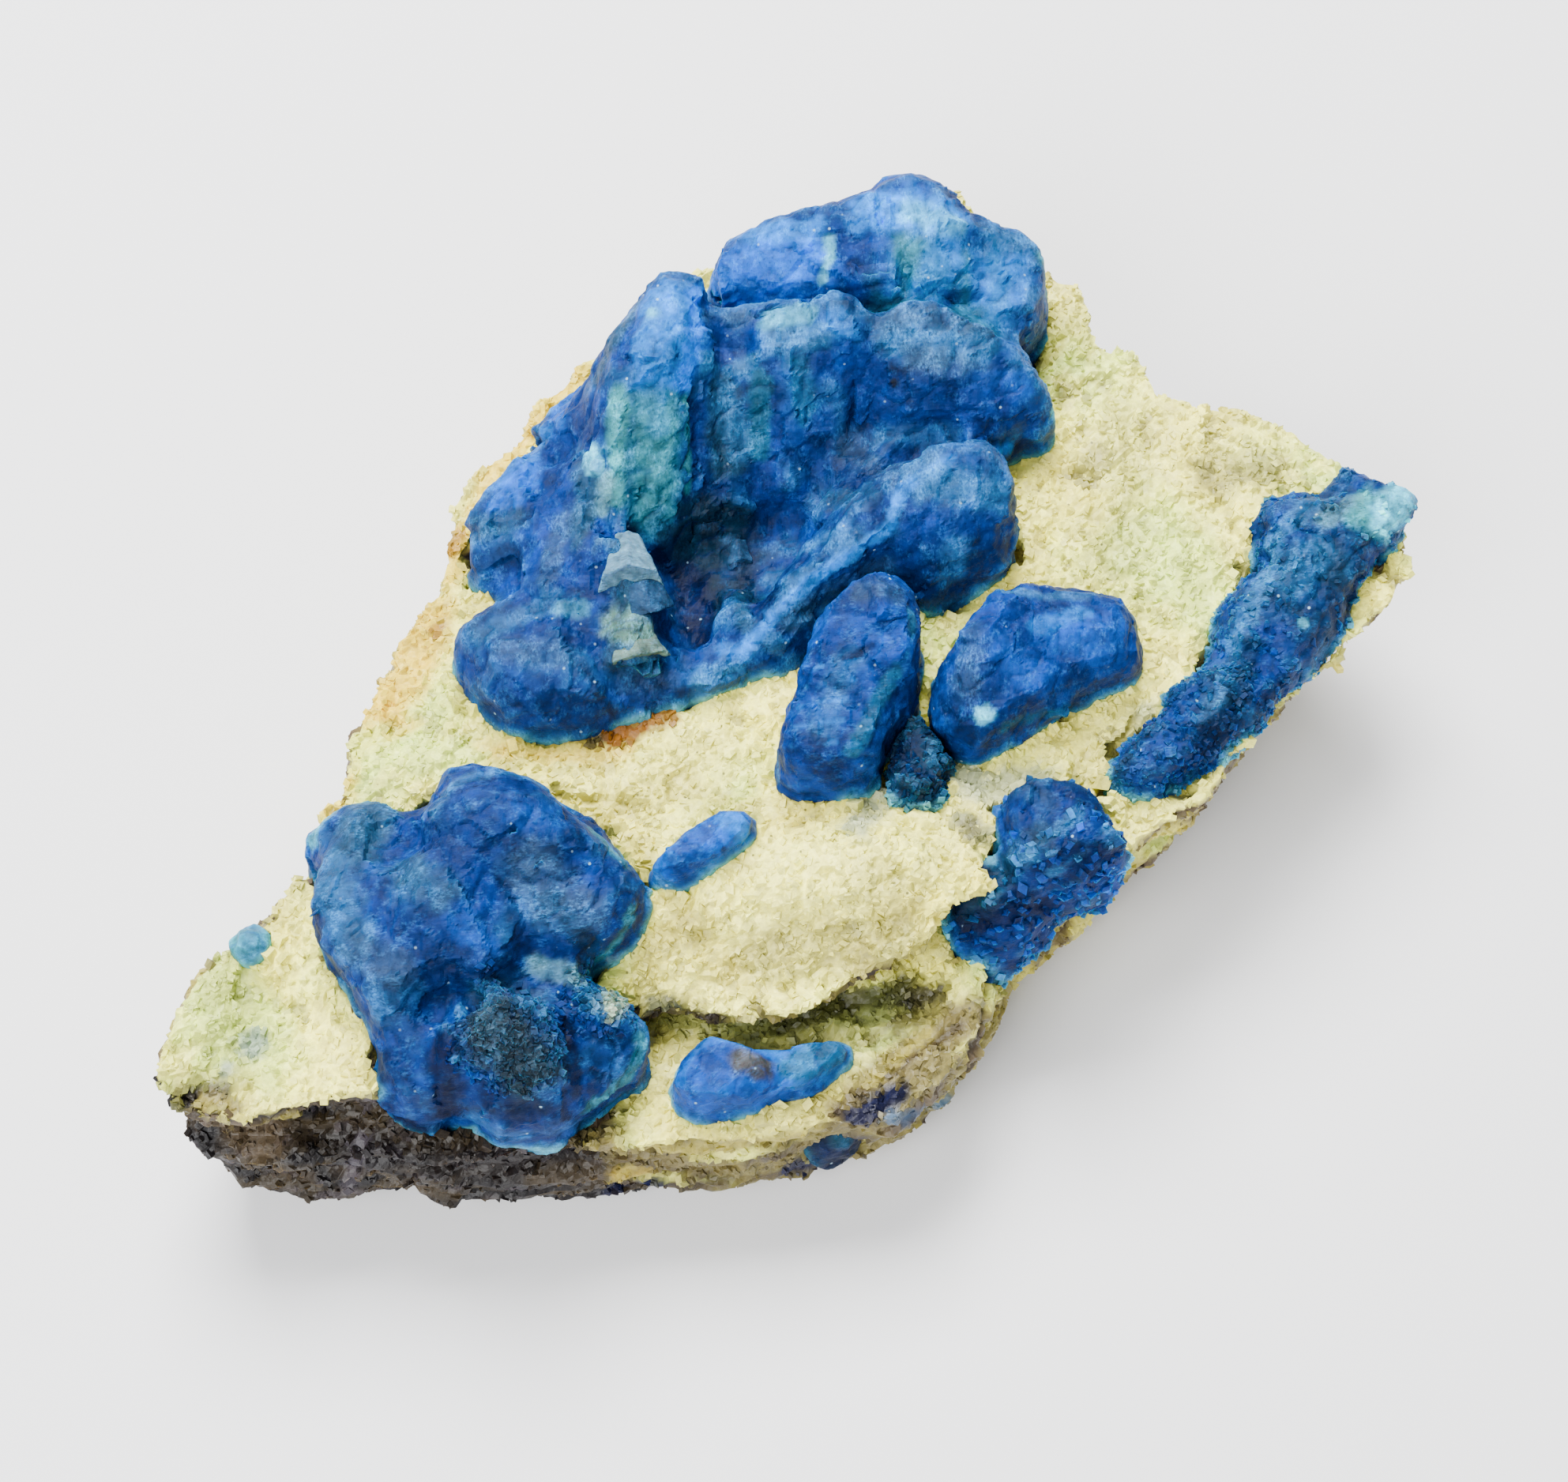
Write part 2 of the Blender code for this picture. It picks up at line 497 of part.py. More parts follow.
         (-8.8, 2.8)],
        11.5, 14.8,
        [(-10.4, 5.0, 16.2), (-10.2, 6.4, 16.6), (-9.6, 7.2, 16.8), (-8.4, 6.6, 16.6),
         (-7.3, 5.2, 16.0), (-6.9, 4.2, 15.6), (-7.3, 3.8, 15.6), (-8.9, 3.8, 15.9)],
        [(-9.8, 6.4, 18.6), (-9.7, 6.8, 18.7), (-9.5, 6.9, 18.8), (-9.1, 6.7, 18.4),
         (-8.8, 6.3, 18.0), (-8.8, 6.0, 17.8), (-9.1, 5.8, 17.9), (-9.6, 6.0, 18.3)]),
    "beige_tip": rooted(
        [(-10.9, 0.6), (-10.3, 2.2), (-9.4, 3.2), (-8.2, 3.2), (-7.0, 2.4), (-6.2, 1.6), (-5.8, 0.3),
         (-5.9, -1.2), (-7.5, -1.8), (-9.2, -2.2), (-9.9, -0.9)],
        11.5, 13.6,
        [(-10.6, 0.9, 15.6), (-10.1, 2.2, 16.2), (-9.4, 3.0, 16.4), (-8.2, 2.9, 16.3),
         (-7.2, 2.2, 15.8), (-6.5, 1.5, 15.3), (-6.2, 0.5, 14.8), (-6.3, -0.6, 14.4),
         (-7.6, -1.1, 14.4), (-9.0, -1.3, 14.3), (-9.7, -0.3, 14.8)],
        [(-9.8, 1.6, 16.8), (-9.6, 2.2, 17.1), (-9.2, 2.6, 17.2), (-8.5, 2.5, 17.1),
         (-7.8, 2.0, 16.7), (-7.3, 1.5, 16.3), (-7.1, 0.9, 15.8), (-7.3, 0.3, 15.4),
         (-8.0, 0.1, 15.4), (-8.8, 0.2, 15.6), (-9.4, 0.8, 16.2)]),
    "left_base_slab": tiered(
        [(-18.6, 1.9), (-17.8, 3.0), (-16.4, 3.7), (-14.9, 4.8), (-13.7, 4.9), (-12.6, 3.8),
         (-13.2, 2.0), (-15.6, 0.6), (-18.0, 0.3)],
        block(11.0, 16.3, crown=1.0, cap=0.72), (0.06, 0.0)),
    "left_base_mass": tiered(
        [(-17.9, 0.7), (-15.8, 1.9), (-13.0, 3.0), (-11.2, 4.0), (-10.6, 2.2), (-10.3, 0.0),
         (-9.5, -1.1), (-9.1, -2.0), (-10.2, -2.7), (-12.2, -3.1), (-14.6, -3.0), (-16.3, -2.1),
         (-17.7, -0.5)],
        block(11.0, 17.0, crown=1.6, cap=0.62), (0.04, 0.12)),
    "low_knob": tiered(
        [(-4.2, 3.4), (-3.6, 4.5), (-2.1, 4.5), (-1.6, 3.6), (-2.4, 2.2), (-3.6, 2.2)],
        block(11.5, 15.5, crown=0.9, cap=0.62)),
    "low_lumps": tiered(
        [(-6.0, 1.8), (-4.0, 2.2), (-2.2, 2.1), (-2.0, 0.9), (-3.0, 0.1), (-4.4, -0.6), (-5.8, -0.8)],
        block(11.5, 14.8, crown=0.9, cap=0.68)),
    "ridge_low": rooted(
        [(-3.0, 1.2), (-2.0, 3.0), (-0.6, 6.0), (1.0, 8.2), (2.8, 8.2), (3.2, 5.8), (1.6, 2.8),
         (0.6, 1.3), (-1.0, 0.6)],
        11.5, 13.4,
        [(-2.6, 1.4, 14.6), (-1.6, 2.8, 15.2), (-0.2, 5.2, 15.9), (1.4, 7.2, 16.4),
         (2.8, 7.6, 16.6), (2.9, 5.9, 16.0), (1.6, 3.4, 15.2), (0.6, 2.0, 14.8), (-0.9, 1.2, 14.4)],
        [(-1.8, 1.9, 15.3), (-1.1, 2.9, 16.0), (0.3, 4.9, 16.9), (1.8, 6.3, 17.6), (2.5, 6.7, 17.8),
         (2.5, 6.0, 17.3), (1.4, 4.3, 16.5), (0.3, 2.9, 15.8), (-0.9, 1.9, 15.2)]),
    "ridge_middle": rooted(
        [(0.8, 7.6), (2.2, 10.0), (4.2, 11.8), (6.4, 12.4), (7.4, 10.0), (6.0, 6.8), (4.0, 5.0),
         (2.0, 4.2), (0.8, 5.4)],
        11.5, 14.0,
        [(1.4, 7.2, 16.6), (2.8, 9.0, 17.2), (4.6, 10.6, 17.8), (6.4, 11.4, 18.4),
         (7.2, 9.8, 18.2), (6.0, 7.3, 17.4), (4.0, 5.8, 16.8), (2.3, 5.0, 16.4), (1.4, 5.8, 16.4)],
        [(2.4, 6.6, 17.7), (3.4, 7.8, 18.3), (5.0, 9.3, 19.0), (6.4, 10.3, 19.6),
         (6.8, 9.7, 19.4), (5.6, 8.0, 18.6), (4.2, 6.8, 18.0), (3.0, 6.0, 17.6), (2.4, 6.0, 17.5)]),
    "flat_top": rooted(
        [(5.6, 6.2), (6.6, 5.2), (7.6, 4.2), (9.0, 5.0), (10.5, 5.9), (11.8, 6.8), (12.7, 7.7),
         (12.9, 8.9), (12.6, 10.6), (12.0, 12.2), (10.2, 12.6), (7.6, 12.0), (6.0, 10.6), (5.4, 8.2)],
        11.5, 13.8,
        [(6.0, 7.6, 18.0), (6.8, 6.7, 17.6), (7.7, 6.0, 17.2), (9.0, 6.6, 17.4), (10.3, 7.2, 17.6),
         (11.4, 7.9, 17.6), (12.3, 8.6, 17.6), (12.5, 9.5, 18.0), (12.2, 11.0, 18.6),
         (11.6, 12.2, 18.8), (10.0, 12.5, 19.0), (7.8, 11.9, 19.0), (6.4, 10.6, 18.8),
         (5.8, 9.0, 18.4)],
        [(6.8, 8.8, 19.2), (7.4, 8.2, 19.0), (8.0, 7.8, 18.8), (9.0, 8.1, 18.9), (10.0, 8.5, 19.0),
         (10.9, 8.9, 18.9), (11.5, 9.4, 18.9), (11.6, 10.0, 19.2), (11.4, 11.0, 19.6),
         (10.9, 11.7, 19.7), (9.7, 11.9, 19.9), (8.2, 11.4, 19.9), (7.2, 10.5, 19.7),
         (6.7, 9.6, 19.4)]),
}

LOWER_LEFT = {
    "dome": tiered(
        [(-19.6, -9.0), (-19.2, -7.4), (-18.4, -6.4), (-17.2, -5.9), (-15.6, -6.0), (-14.2, -6.6),
         (-12.8, -7.4), (-11.8, -8.4), (-11.0, -9.8), (-11.2, -12.2), (-13.0, -13.8),
         (-16.0, -14.2), (-19.0, -13.0)],
        [(9.8, 0.95, 0.95, 0.0, 0.0), (13.6, 1.0, 1.0, 0.0, 0.0), (16.6, 0.92, 0.9, 0.0, 0.0),
         (18.4, 0.62, 0.6, 0.0, -0.2)]),
    "dome_side_lobe": tiered(
        [(-12.4, -8.0), (-11.2, -8.0), (-10.0, -8.9), (-9.2, -10.0), (-9.4, -11.6), (-11.4, -12.0),
         (-12.8, -10.4)],
        block(10.0, 15.6, crown=1.1, cap=0.62)),
    "pale_lobe": tiered(
        [(-26.1, -10.0), (-25.6, -9.0), (-24.6, -8.1), (-23.0, -7.7), (-21.7, -7.5), (-20.6, -8.0),
         (-19.7, -9.0), (-19.4, -11.0), (-21.0, -12.4), (-24.0, -11.8), (-25.4, -11.2)],
        block(10.0, 15.8, crown=1.3, cap=0.66), (0.05, 0.0)),
    "left_mass": tiered(
        [(-25.1, -15.0), (-25.0, -13.4), (-24.5, -11.8), (-22.0, -11.2), (-19.5, -12.4),
         (-18.5, -15.0), (-18.5, -18.5), (-19.5, -20.6), (-21.6, -20.2), (-22.9, -18.2),
         (-24.5, -16.4)],
        block(9.6, 17.0, crown=1.5, cap=0.66), (0.1, 0.03)),
    "centre_facet": rooted(
        [(-20.6, -11.4), (-18.2, -11.0), (-16.4, -12.2), (-16.0, -15.0), (-16.8, -18.4),
         (-18.8, -19.0), (-20.4, -16.6)],
        9.6, 15.0,
        [(-20.2, -12.0, 17.4), (-18.2, -11.8, 17.8), (-16.8, -12.8, 17.8), (-16.5, -15.0, 17.4),
         (-17.2, -17.8, 16.8), (-18.8, -18.2, 16.6), (-20.1, -16.4, 17.0)],
        [(-19.5, -12.7, 18.5), (-18.2, -12.6, 18.7), (-17.4, -13.2, 18.6), (-17.3, -14.8, 18.2),
         (-17.8, -16.2, 17.8), (-18.7, -16.6, 17.7), (-19.4, -15.4, 18.1)]),
    "saturated_facet": tiered(
        [(-17.6, -14.2), (-15.2, -13.4), (-13.8, -14.4), (-14.2, -17.0), (-16.0, -18.6),
         (-17.6, -18.2)],
        block(9.6, 17.2, crown=0.9, cap=0.78), (-0.05, 0.12)),
    "right_mass": tiered(
        [(-14.6, -11.2), (-11.5, -9.8), (-10.0, -9.8), (-9.2, -10.5), (-8.2, -11.6), (-7.6, -12.6),
         (-7.5, -13.8), (-8.2, -14.9), (-9.6, -15.8), (-11.2, -16.3), (-13.2, -16.8), (-15.0, -15.8)],
        block(9.8, 16.9, crown=1.6, cap=0.62), (-0.06, 0.05)),
    "front_knob": rooted(
        [(-16.8, -21.8), (-16.4, -20.2), (-15.0, -19.4), (-13.0, -19.3), (-11.8, -20.4),
         (-11.3, -21.9), (-10.9, -23.4), (-11.4, -24.6), (-12.6, -25.2), (-15.4, -25.3),
         (-16.4, -23.8)],
        8.0, 12.4,
        [(-16.5, -21.4, 15.8), (-16.1, -20.2, 16.4), (-14.9, -19.6, 16.6), (-13.1, -19.5, 16.4),
         (-12.1, -20.3, 16.0), (-11.7, -21.5, 15.4), (-11.4, -22.7, 14.6), (-11.8, -23.6, 14.2),
         (-12.9, -24.2, 14.2), (-15.2, -24.2, 14.4), (-16.1, -23.0, 15.0)],
        [(-15.9, -21.2, 16.8), (-15.6, -20.6, 17.3), (-14.8, -20.2, 17.5), (-13.5, -20.1, 17.3),
         (-12.8, -20.7, 16.9), (-12.5, -21.5, 16.4), (-12.4, -22.2, 15.8), (-12.7, -22.7, 15.5),
         (-13.4, -23.0, 15.5), (-14.9, -23.0, 15.7), (-15.6, -22.3, 16.2)]),
    "front_right": rooted(
        [(-11.4, -19.0), (-10.4, -17.8), (-9.2, -18.0), (-8.0, -18.7), (-7.4, -20.2), (-7.8, -21.6),
         (-9.2, -22.8), (-10.6, -23.8), (-12.0, -24.2), (-12.6, -21.0)],
        8.0, 11.6,
        [(-11.3, -18.9, 13.8), (-10.4, -18.0, 14.0), (-9.2, -18.3, 13.6), (-8.3, -18.9, 13.2),
         (-7.9, -20.1, 12.6), (-8.2, -21.1, 12.4), (-9.3, -22.1, 12.4), (-10.6, -23.0, 12.4),
         (-11.8, -23.3, 12.6), (-12.2, -21.0, 13.4)],
        [(-11.0, -19.3, 14.6), (-10.3, -18.7, 14.8), (-9.5, -18.9, 14.4), (-9.0, -19.4, 14.0),
         (-8.8, -20.1, 13.5), (-9.1, -20.8, 13.2), (-9.9, -21.6, 13.2), (-10.7, -22.1, 13.2),
         (-11.4, -22.3, 13.4), (-11.5, -20.9, 14.1)]),
    "front_left": tiered(
        [(-21.6, -20.0), (-19.0, -19.6), (-17.2, -20.6), (-17.4, -22.8), (-18.4, -24.5),
         (-20.0, -24.6), (-21.1, -23.4), (-21.5, -21.6)],
        block(8.0, 14.6, crown=1.2, cap=0.68), (0.1, 0.12)),
    "pale_knob": tiered(
        [(-18.4, -21.4), (-17.5, -20.2), (-16.2, -20.6), (-16.1, -22.8), (-17.0, -23.4),
         (-18.2, -22.8)],
        block(8.0, 16.2, crown=1.1, cap=0.62)),
    "apron": tiered(
        [(-18.4, -18.6), (-14.0, -16.0), (-10.8, -17.0), (-10.2, -19.0), (-11.6, -24.2),
         (-15.0, -24.6), (-18.4, -24.0), (-20.0, -21.0)],
        [(8.0, 0.96, 0.96, 0.0, 0.0), (13.0, 1.0, 1.0, 0.0, 0.0), (14.0, 0.9, 0.86, 0.0, 0.4)],
        (0.0, 0.12)),
}

CENTER_PRISM = {
    "upper_block": tiered(
        [(4.3, 4.5), (6.0, 4.7), (6.8, 3.6), (7.1, 2.4), (7.3, 1.4), (7.2, -0.2), (7.0, -1.8),
         (5.8, -2.4), (1.1, -1.4), (1.0, 0.0), (1.4, 1.5), (2.5, 3.1), (3.4, 4.0)],
        block(11.6, 18.9, crown=1.3, cap=0.7), (0.05, 0.06)),
    "lower_block": tiered(
        [(6.7, -1.2), (6.6, -2.4), (5.7, -3.5), (5.2, -5.0), (4.8, -6.2), (3.9, -7.0), (1.7, -7.3),
         (0.4, -7.0), (-0.3, -6.3), (-0.5, -5.0), (-0.2, -3.8), (0.2, -2.8), (0.8, -1.0), (1.2, 0.4),
         (4.0, 0.6)],
        block(11.6, 18.0, crown=1.4, cap=0.7), (0.0, 0.04)),
}

RIGHT_PRISM = {
    "body": tiered(
        [(7.6, -1.6), (8.0, -0.2), (9.1, 1.2), (9.6, 2.4), (10.7, 3.8), (12.9, 5.0), (14.6, 4.8),
         (16.0, 4.8), (18.0, 4.3), (19.0, 3.8), (19.4, 2.2), (19.5, 0.8), (19.2, 0.2), (17.4, -0.6),
         (15.0, -1.5), (14.0, -2.4), (11.5, -3.9), (10.3, -4.6), (9.0, -4.2), (8.0, -3.1)],
        block(11.6, 17.3, crown=1.3, cap=0.76), (0.02, 0.03)),
    "crest": tiered(
        [(8.6, -1.4), (9.5, 0.8), (10.9, 3.0), (13.2, 4.0), (14.2, 2.2), (12.8, -0.4), (10.6, -2.8),
         (9.2, -3.2)],
        block(12.5, 18.3, crown=1.2, cap=0.57), (0.0, 0.03)),
}

SMALL_PRISM = {
    "body": tiered(
        [(-7.4, -11.6), (-5.5, -9.9), (-3.6, -8.5), (-2.6, -8.3), (-1.7, -8.8), (-1.9, -9.8),
         (-3.8, -11.4), (-5.2, -12.3), (-6.5, -12.4), (-7.4, -12.0)],
        block(11.8, 16.2, crown=0.9, cap=0.72), (0.0, 0.02)),
}

LOWER_PRISM = {
    "body": tiered(
        [(-6.2, -22.4), (-5.7, -21.2), (-5.1, -20.3), (-4.2, -20.0), (-3.0, -20.1), (-1.6, -20.4),
         (-0.6, -21.6), (-1.6, -23.3), (-3.6, -23.8), (-5.2, -23.7), (-6.0, -23.2)],
        block(7.4, 12.1, crown=0.9, cap=0.76), (0.0, 0.03)),
    "tail": tiered(
        [(-2.0, -20.5), (0.0, -20.2), (1.6, -19.8), (3.0, -19.6), (3.5, -20.1), (3.1, -20.9),
         (2.0, -21.7), (0.4, -22.6), (-2.0, -23.1)],
        block(7.4, 11.3, crown=0.8, cap=0.76), (-0.05, 0.0)),
}

DRUSY_CRUST = {
    "skin": tiered(
        [(5.7, -7.4), (7.2, -7.6), (8.4, -6.9), (8.3, -5.6), (8.8, -4.9), (8.2, -3.9), (7.6, -2.6),
         (6.6, -2.4), (6.2, -3.4), (5.8, -5.2)],
        block(12.0, 15.0, crown=0.7, cap=0.74)),
}

RIGHT_EDGE = {
    "tip_lobe": tiered(
        [(30.2, 11.2), (31.0, 12.6), (31.8, 13.2), (32.9, 12.5), (34.2, 11.8), (34.9, 11.0),
         (34.9, 9.8), (34.4, 9.2), (33.2, 7.9), (31.4, 7.8)],
        block(11.4, 15.4, crown=1.1, cap=0.66)),
    "upper_lobe": tiered(
        [(26.4, 8.4), (26.6, 10.3), (27.5, 11.3), (29.0, 11.5), (31.0, 11.0), (33.0, 8.6),
         (32.6, 6.8), (30.8, 5.2), (28.5, 5.4), (27.0, 6.6)],
        block(11.4, 15.8, crown=1.2, cap=0.68)),
    "middle_lobe": tiered(
        [(25.6, 6.2), (26.8, 6.8), (28.6, 6.2), (30.8, 5.4), (31.4, 4.4), (30.4, 2.8), (29.2, 1.4),
         (27.8, 0.0), (26.0, 0.6), (24.4, 0.8), (23.6, 1.6), (23.6, 3.0), (24.2, 4.4)],
        block(11.2, 15.4, crown=1.1, cap=0.7)),
    "lower_lobe": tiered(
        [(23.6, 1.2), (25.6, 1.2), (27.4, -0.2), (26.0, -2.0), (24.2, -3.6), (22.2, -5.2),
         (20.0, -6.4), (18.2, -6.4), (17.5, -5.8), (17.9, -4.6), (19.2, -3.3), (20.6, -2.2),
         (21.2, -0.8), (22.2, 0.3)],
        block(11.0, 14.9, crown=1.0, cap=0.74)),
}

LOWER_RIGHT = {
    "striated_block": tiered(
        [(11.3, -7.8), (12.2, -7.0), (13.2, -6.6), (15.4, -6.6), (16.3, -7.3), (17.2, -8.6),
         (18.0, -9.8), (18.2, -10.8), (17.6, -11.6), (16.2, -12.0), (14.4, -12.4), (12.4, -12.0),
         (11.6, -10.4), (11.7, -9.0)],
        [(6.5, 0.82, 0.82, 0.0, 0.6), (10.4, 1.0, 1.0, 0.0, 0.0), (14.4, 0.97, 0.92, 0.0, 0.2),
         (15.9, 0.8, 0.74, 0.0, 0.4)], (0.0, 0.06)),
    "dark_front": tiered(
        [(9.4, -11.0), (10.4, -10.2), (12.2, -10.2), (13.8, -11.4), (14.6, -12.6), (13.4, -13.8),
         (12.7, -14.6), (11.6, -15.2), (10.0, -15.2), (8.8, -14.4), (8.5, -13.4), (8.9, -12.4)],
        [(5.0, 0.8, 0.8, 0.0, 0.5), (7.4, 1.0, 1.0, 0.0, 0.0), (11.2, 0.92, 0.8, 0.0, 0.6),
         (12.9, 0.6, 0.5, 0.1, 1.1)]),
}

BEAD = {
    "body": tiered(
        [(-29.7, -15.2), (-29.4, -14.4), (-28.7, -14.2), (-28.0, -14.4), (-27.7, -15.2),
         (-28.0, -15.9), (-28.7, -16.2), (-29.4, -15.9)],
        block(11.4, 13.7, crown=0.8, cap=0.6)),
}

SIDE_CRYSTAL = {
    "body": tiered(
        [(0.6, -23.2), (1.0, -24.2), (2.2, -24.7), (3.4, -24.2), (4.2, -23.0), (3.2, -21.8),
         (1.4, -21.8)],
        [(3.2, 0.8, 0.8, 0.0, 0.0), (4.4, 1.0, 1.0, 0.0, 0.0), (6.0, 0.9, 0.9, 0.0, 0.0),
         (6.9, 0.5, 0.5, 0.0, 0.0)]),
}

# Node, its crystals, triangles, lump size and lump rise of its skin.
PIECES = [
    ("upper_cluster", UPPER, 2400, 2.2, 0.3),
    ("lower_left_cluster", LOWER_LEFT, 1150, 2.2, 0.3),
    ("center_prism", CENTER_PRISM, 300, 2.4, 0.3),
    ("right_prism", RIGHT_PRISM, 320, 2.4, 0.3),
    ("small_prism", SMALL_PRISM, 140, 2.2, 0.2),
    ("lower_prism", LOWER_PRISM, 200, 2.0, 0.3),
    ("drusy_crust", DRUSY_CRUST, 160, 1.2, 0.4),
    ("right_edge_crust", RIGHT_EDGE, 480, 1.6, 0.45),
    ("lower_right_cluster", LOWER_RIGHT, 360, 1.6, 0.45),
    ("bead_crystal", BEAD, 80, 2.0, 0.1),
    ("side_crystal", SIDE_CRYSTAL, 80, 1.4, 0.3),
]

# Where two groups meet, the one named first gives way to those after it.
NEIGHBOURS = {
    "upper_cluster": ["center_prism"],
    "lower_left_cluster": ["small_prism"],
    "drusy_crust": ["center_prism", "right_prism"],
}


def make_crystals(name, crystals, target, lump, rise, seed, group):
    """One solid of crystals that have grown into each other."""
    bm = bmesh.new()
    for rings in crystals.values():
        draw_up(bm, rings)
    made = object_from(bm, name, group)
    remesh(made, CRYSTAL_VOXEL)
    soften(made, 0.5, 1)
    roughen(made, lump, rise, seed)
    thin_out(made, target)
    keep_largest(made)
    return made


FINISHES = {
    "calcite": ((0.78, 0.74, 0.58), 0.75, 0.15),
    "deep_blue": ((0.03, 0.16, 0.52), 0.55, 0.1),
    "light_blue": ((0.16, 0.40, 0.78), 0.5, 0.2),
    "grey_blue": ((0.12, 0.22, 0.42), 0.65, 0.1),
}

FINISH_OF = {
    "matrix": "calcite",
    "small_prism": "light_blue",
    "lower_prism": "light_blue",
    "bead_crystal": "light_blue",
    "drusy_crust": "grey_blue",
    "right_edge_crust": "grey_blue",
}


def main():
    for made in list(bpy.data.objects):
        bpy.data.objects.remove(made, do_unlink=True)
    group = new_collection("hackmanite_cluster")
    cutters = new_collection("sockets")
    materials = {name: finish_material(name, *look) for name, look in FINISHES.items()}

    pieces = {}
    for seed, (name, crystals, target, lump, rise) in enumerate(PIECES):
        pieces[name] = make_crystals(name, crystals, target, lump, rise, seed + 1, group)
    for name, others in NEIGHBOURS.items():
        cut_away(pieces[name], [socket_for(pieces[other], cutters) for other in others])
    matrix = make_matrix(group)
    cut_away(matrix, [socket_for(piece, cutters) for piece in pieces.values()])
    pieces["matrix"] = matrix
    for name, piece in pieces.items():
        piece.data.materials.clear()
        piece.data.materials.append(materials[FINISH_OF.get(name, "deep_blue")])


main()
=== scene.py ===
import math

import bpy
import numpy as np
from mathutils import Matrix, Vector, noise
from mathutils.bvhtree import BVHTree


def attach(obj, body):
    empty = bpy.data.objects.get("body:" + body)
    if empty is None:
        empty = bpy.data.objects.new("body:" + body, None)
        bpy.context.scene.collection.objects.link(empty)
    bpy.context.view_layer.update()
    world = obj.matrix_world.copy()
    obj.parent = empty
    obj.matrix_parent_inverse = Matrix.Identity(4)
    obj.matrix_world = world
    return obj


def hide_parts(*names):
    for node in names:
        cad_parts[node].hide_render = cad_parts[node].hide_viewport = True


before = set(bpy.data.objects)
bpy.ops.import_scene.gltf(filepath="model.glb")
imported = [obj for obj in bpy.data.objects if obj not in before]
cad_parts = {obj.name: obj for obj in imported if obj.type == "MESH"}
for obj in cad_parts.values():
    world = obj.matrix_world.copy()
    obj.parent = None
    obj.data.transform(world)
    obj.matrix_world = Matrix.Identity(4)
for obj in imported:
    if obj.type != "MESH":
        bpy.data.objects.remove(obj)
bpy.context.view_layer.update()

bpy.ops.object.select_all(action="DESELECT")

# The camera looks down on the lying specimen at the photograph's steep angle. Its lens makes one
# pixel of the 1985 x 1876 picture 0.044 mm wide on the stone, whose middle is a little above the
# picture's middle.
MM = 0.001
PICTURE_WIDTH = 1985
PICTURE_HEIGHT = 1876
PIXEL = 0.044 * MM
STONE_IN_PICTURE = (997, 880)
AIM_HEIGHT = 12 * MM
CAMERA_DISTANCE = 0.180
CAMERA_RISE = math.radians(64)
SENSOR = 36
camera_place = Vector((0, -CAMERA_DISTANCE * math.cos(CAMERA_RISE),
                       AIM_HEIGHT + CAMERA_DISTANCE * math.sin(CAMERA_RISE)))
bpy.ops.object.camera_add(location=camera_place, rotation=(math.pi / 2 - CAMERA_RISE, 0, 0))
camera = bpy.context.object
camera.data.sensor_width = SENSOR
camera.data.lens = SENSOR * CAMERA_DISTANCE / (PIXEL * PICTURE_WIDTH)
camera.data.shift_x = (PICTURE_WIDTH / 2 - STONE_IN_PICTURE[0]) / PICTURE_WIDTH
camera.data.shift_y = (STONE_IN_PICTURE[1] - PICTURE_HEIGHT / 2) / PICTURE_WIDTH
camera.data.clip_start = 10 * MM
bpy.context.scene.camera = camera

# The floor is a plain pale sheet under the stone. The light is soft: a wide panel over the far
# side, a weaker one from the near left, and an even pale surround.
FLOOR_SIZE = 3.0
FLOOR_WHITE = (0.78, 0.78, 0.79)
SURROUND = (0.95, 0.97, 1.0)
SURROUND_STRENGTH = 0.5
PANELS = {
    "key_panel": ((-0.06, 0.22, 0.36), 0.22, 6.2),
    "fill_panel": ((-0.16, -0.24, 0.30), 0.26, 3.0),
}
bpy.ops.mesh.primitive_plane_add(size=FLOOR_SIZE, location=(0, 0, 0))
floor = bpy.context.object
floor.name = "floor"
floor_finish = bpy.data.materials.new("floor_white")
floor_finish.use_nodes = True
floor_shader = floor_finish.node_tree.nodes["Principled BSDF"]
floor_shader.inputs["Base Color"].default_value = (*FLOOR_WHITE, 1)
floor_shader.inputs["Roughness"].default_value = 0.8
floor.data.materials.append(floor_finish)
for name, (place, size, power) in PANELS.items():
    bpy.ops.object.light_add(type="AREA", location=place)
    panel = bpy.context.object
    panel.name = name
    panel.data.shape = "SQUARE"
    panel.data.size = size
    panel.data.energy = power
    towards = Vector((0, 0, AIM_HEIGHT)) - Vector(place)
    panel.rotation_euler = towards.to_track_quat("-Z", "Y").to_euler()
world = bpy.data.worlds.new("surround")
world.use_nodes = True
world.node_tree.nodes["Background"].inputs["Color"].default_value = (*SURROUND, 1)
world.node_tree.nodes["Background"].inputs["Strength"].default_value = SURROUND_STRENGTH
bpy.context.scene.world = world


# The matrix is one broken slab of sugary calcite marble, pale cream with a green cast, honey
# coloured where it has weathered, and layered on its walls. Its near side wall, which faces away
# from the main light, is painted almost black: its own brown layers with painted shade over them.
# Every crystal grows out of it, and its back has the flat patch that the specimen rests on.
MARBLE_VOXEL = 0.33 * MM
MARBLE_REACH = 1.0 * MM
LOOK_LEVEL = 15 * MM
SEED_STEP = 17.3
BLOCK_LEAN = 1.6
BLOCK_STEP = 1.2
WALL_LAYERS = (3.0, 3.0, 0.5)
NEAR_WALL_SHADE = 0.6


def pick(piece):
    """Makes a piece the only selected and the active one."""
    bpy.ops.object.select_all(action="DESELECT")
    piece.select_set(True)
    bpy.context.view_layer.objects.active = piece


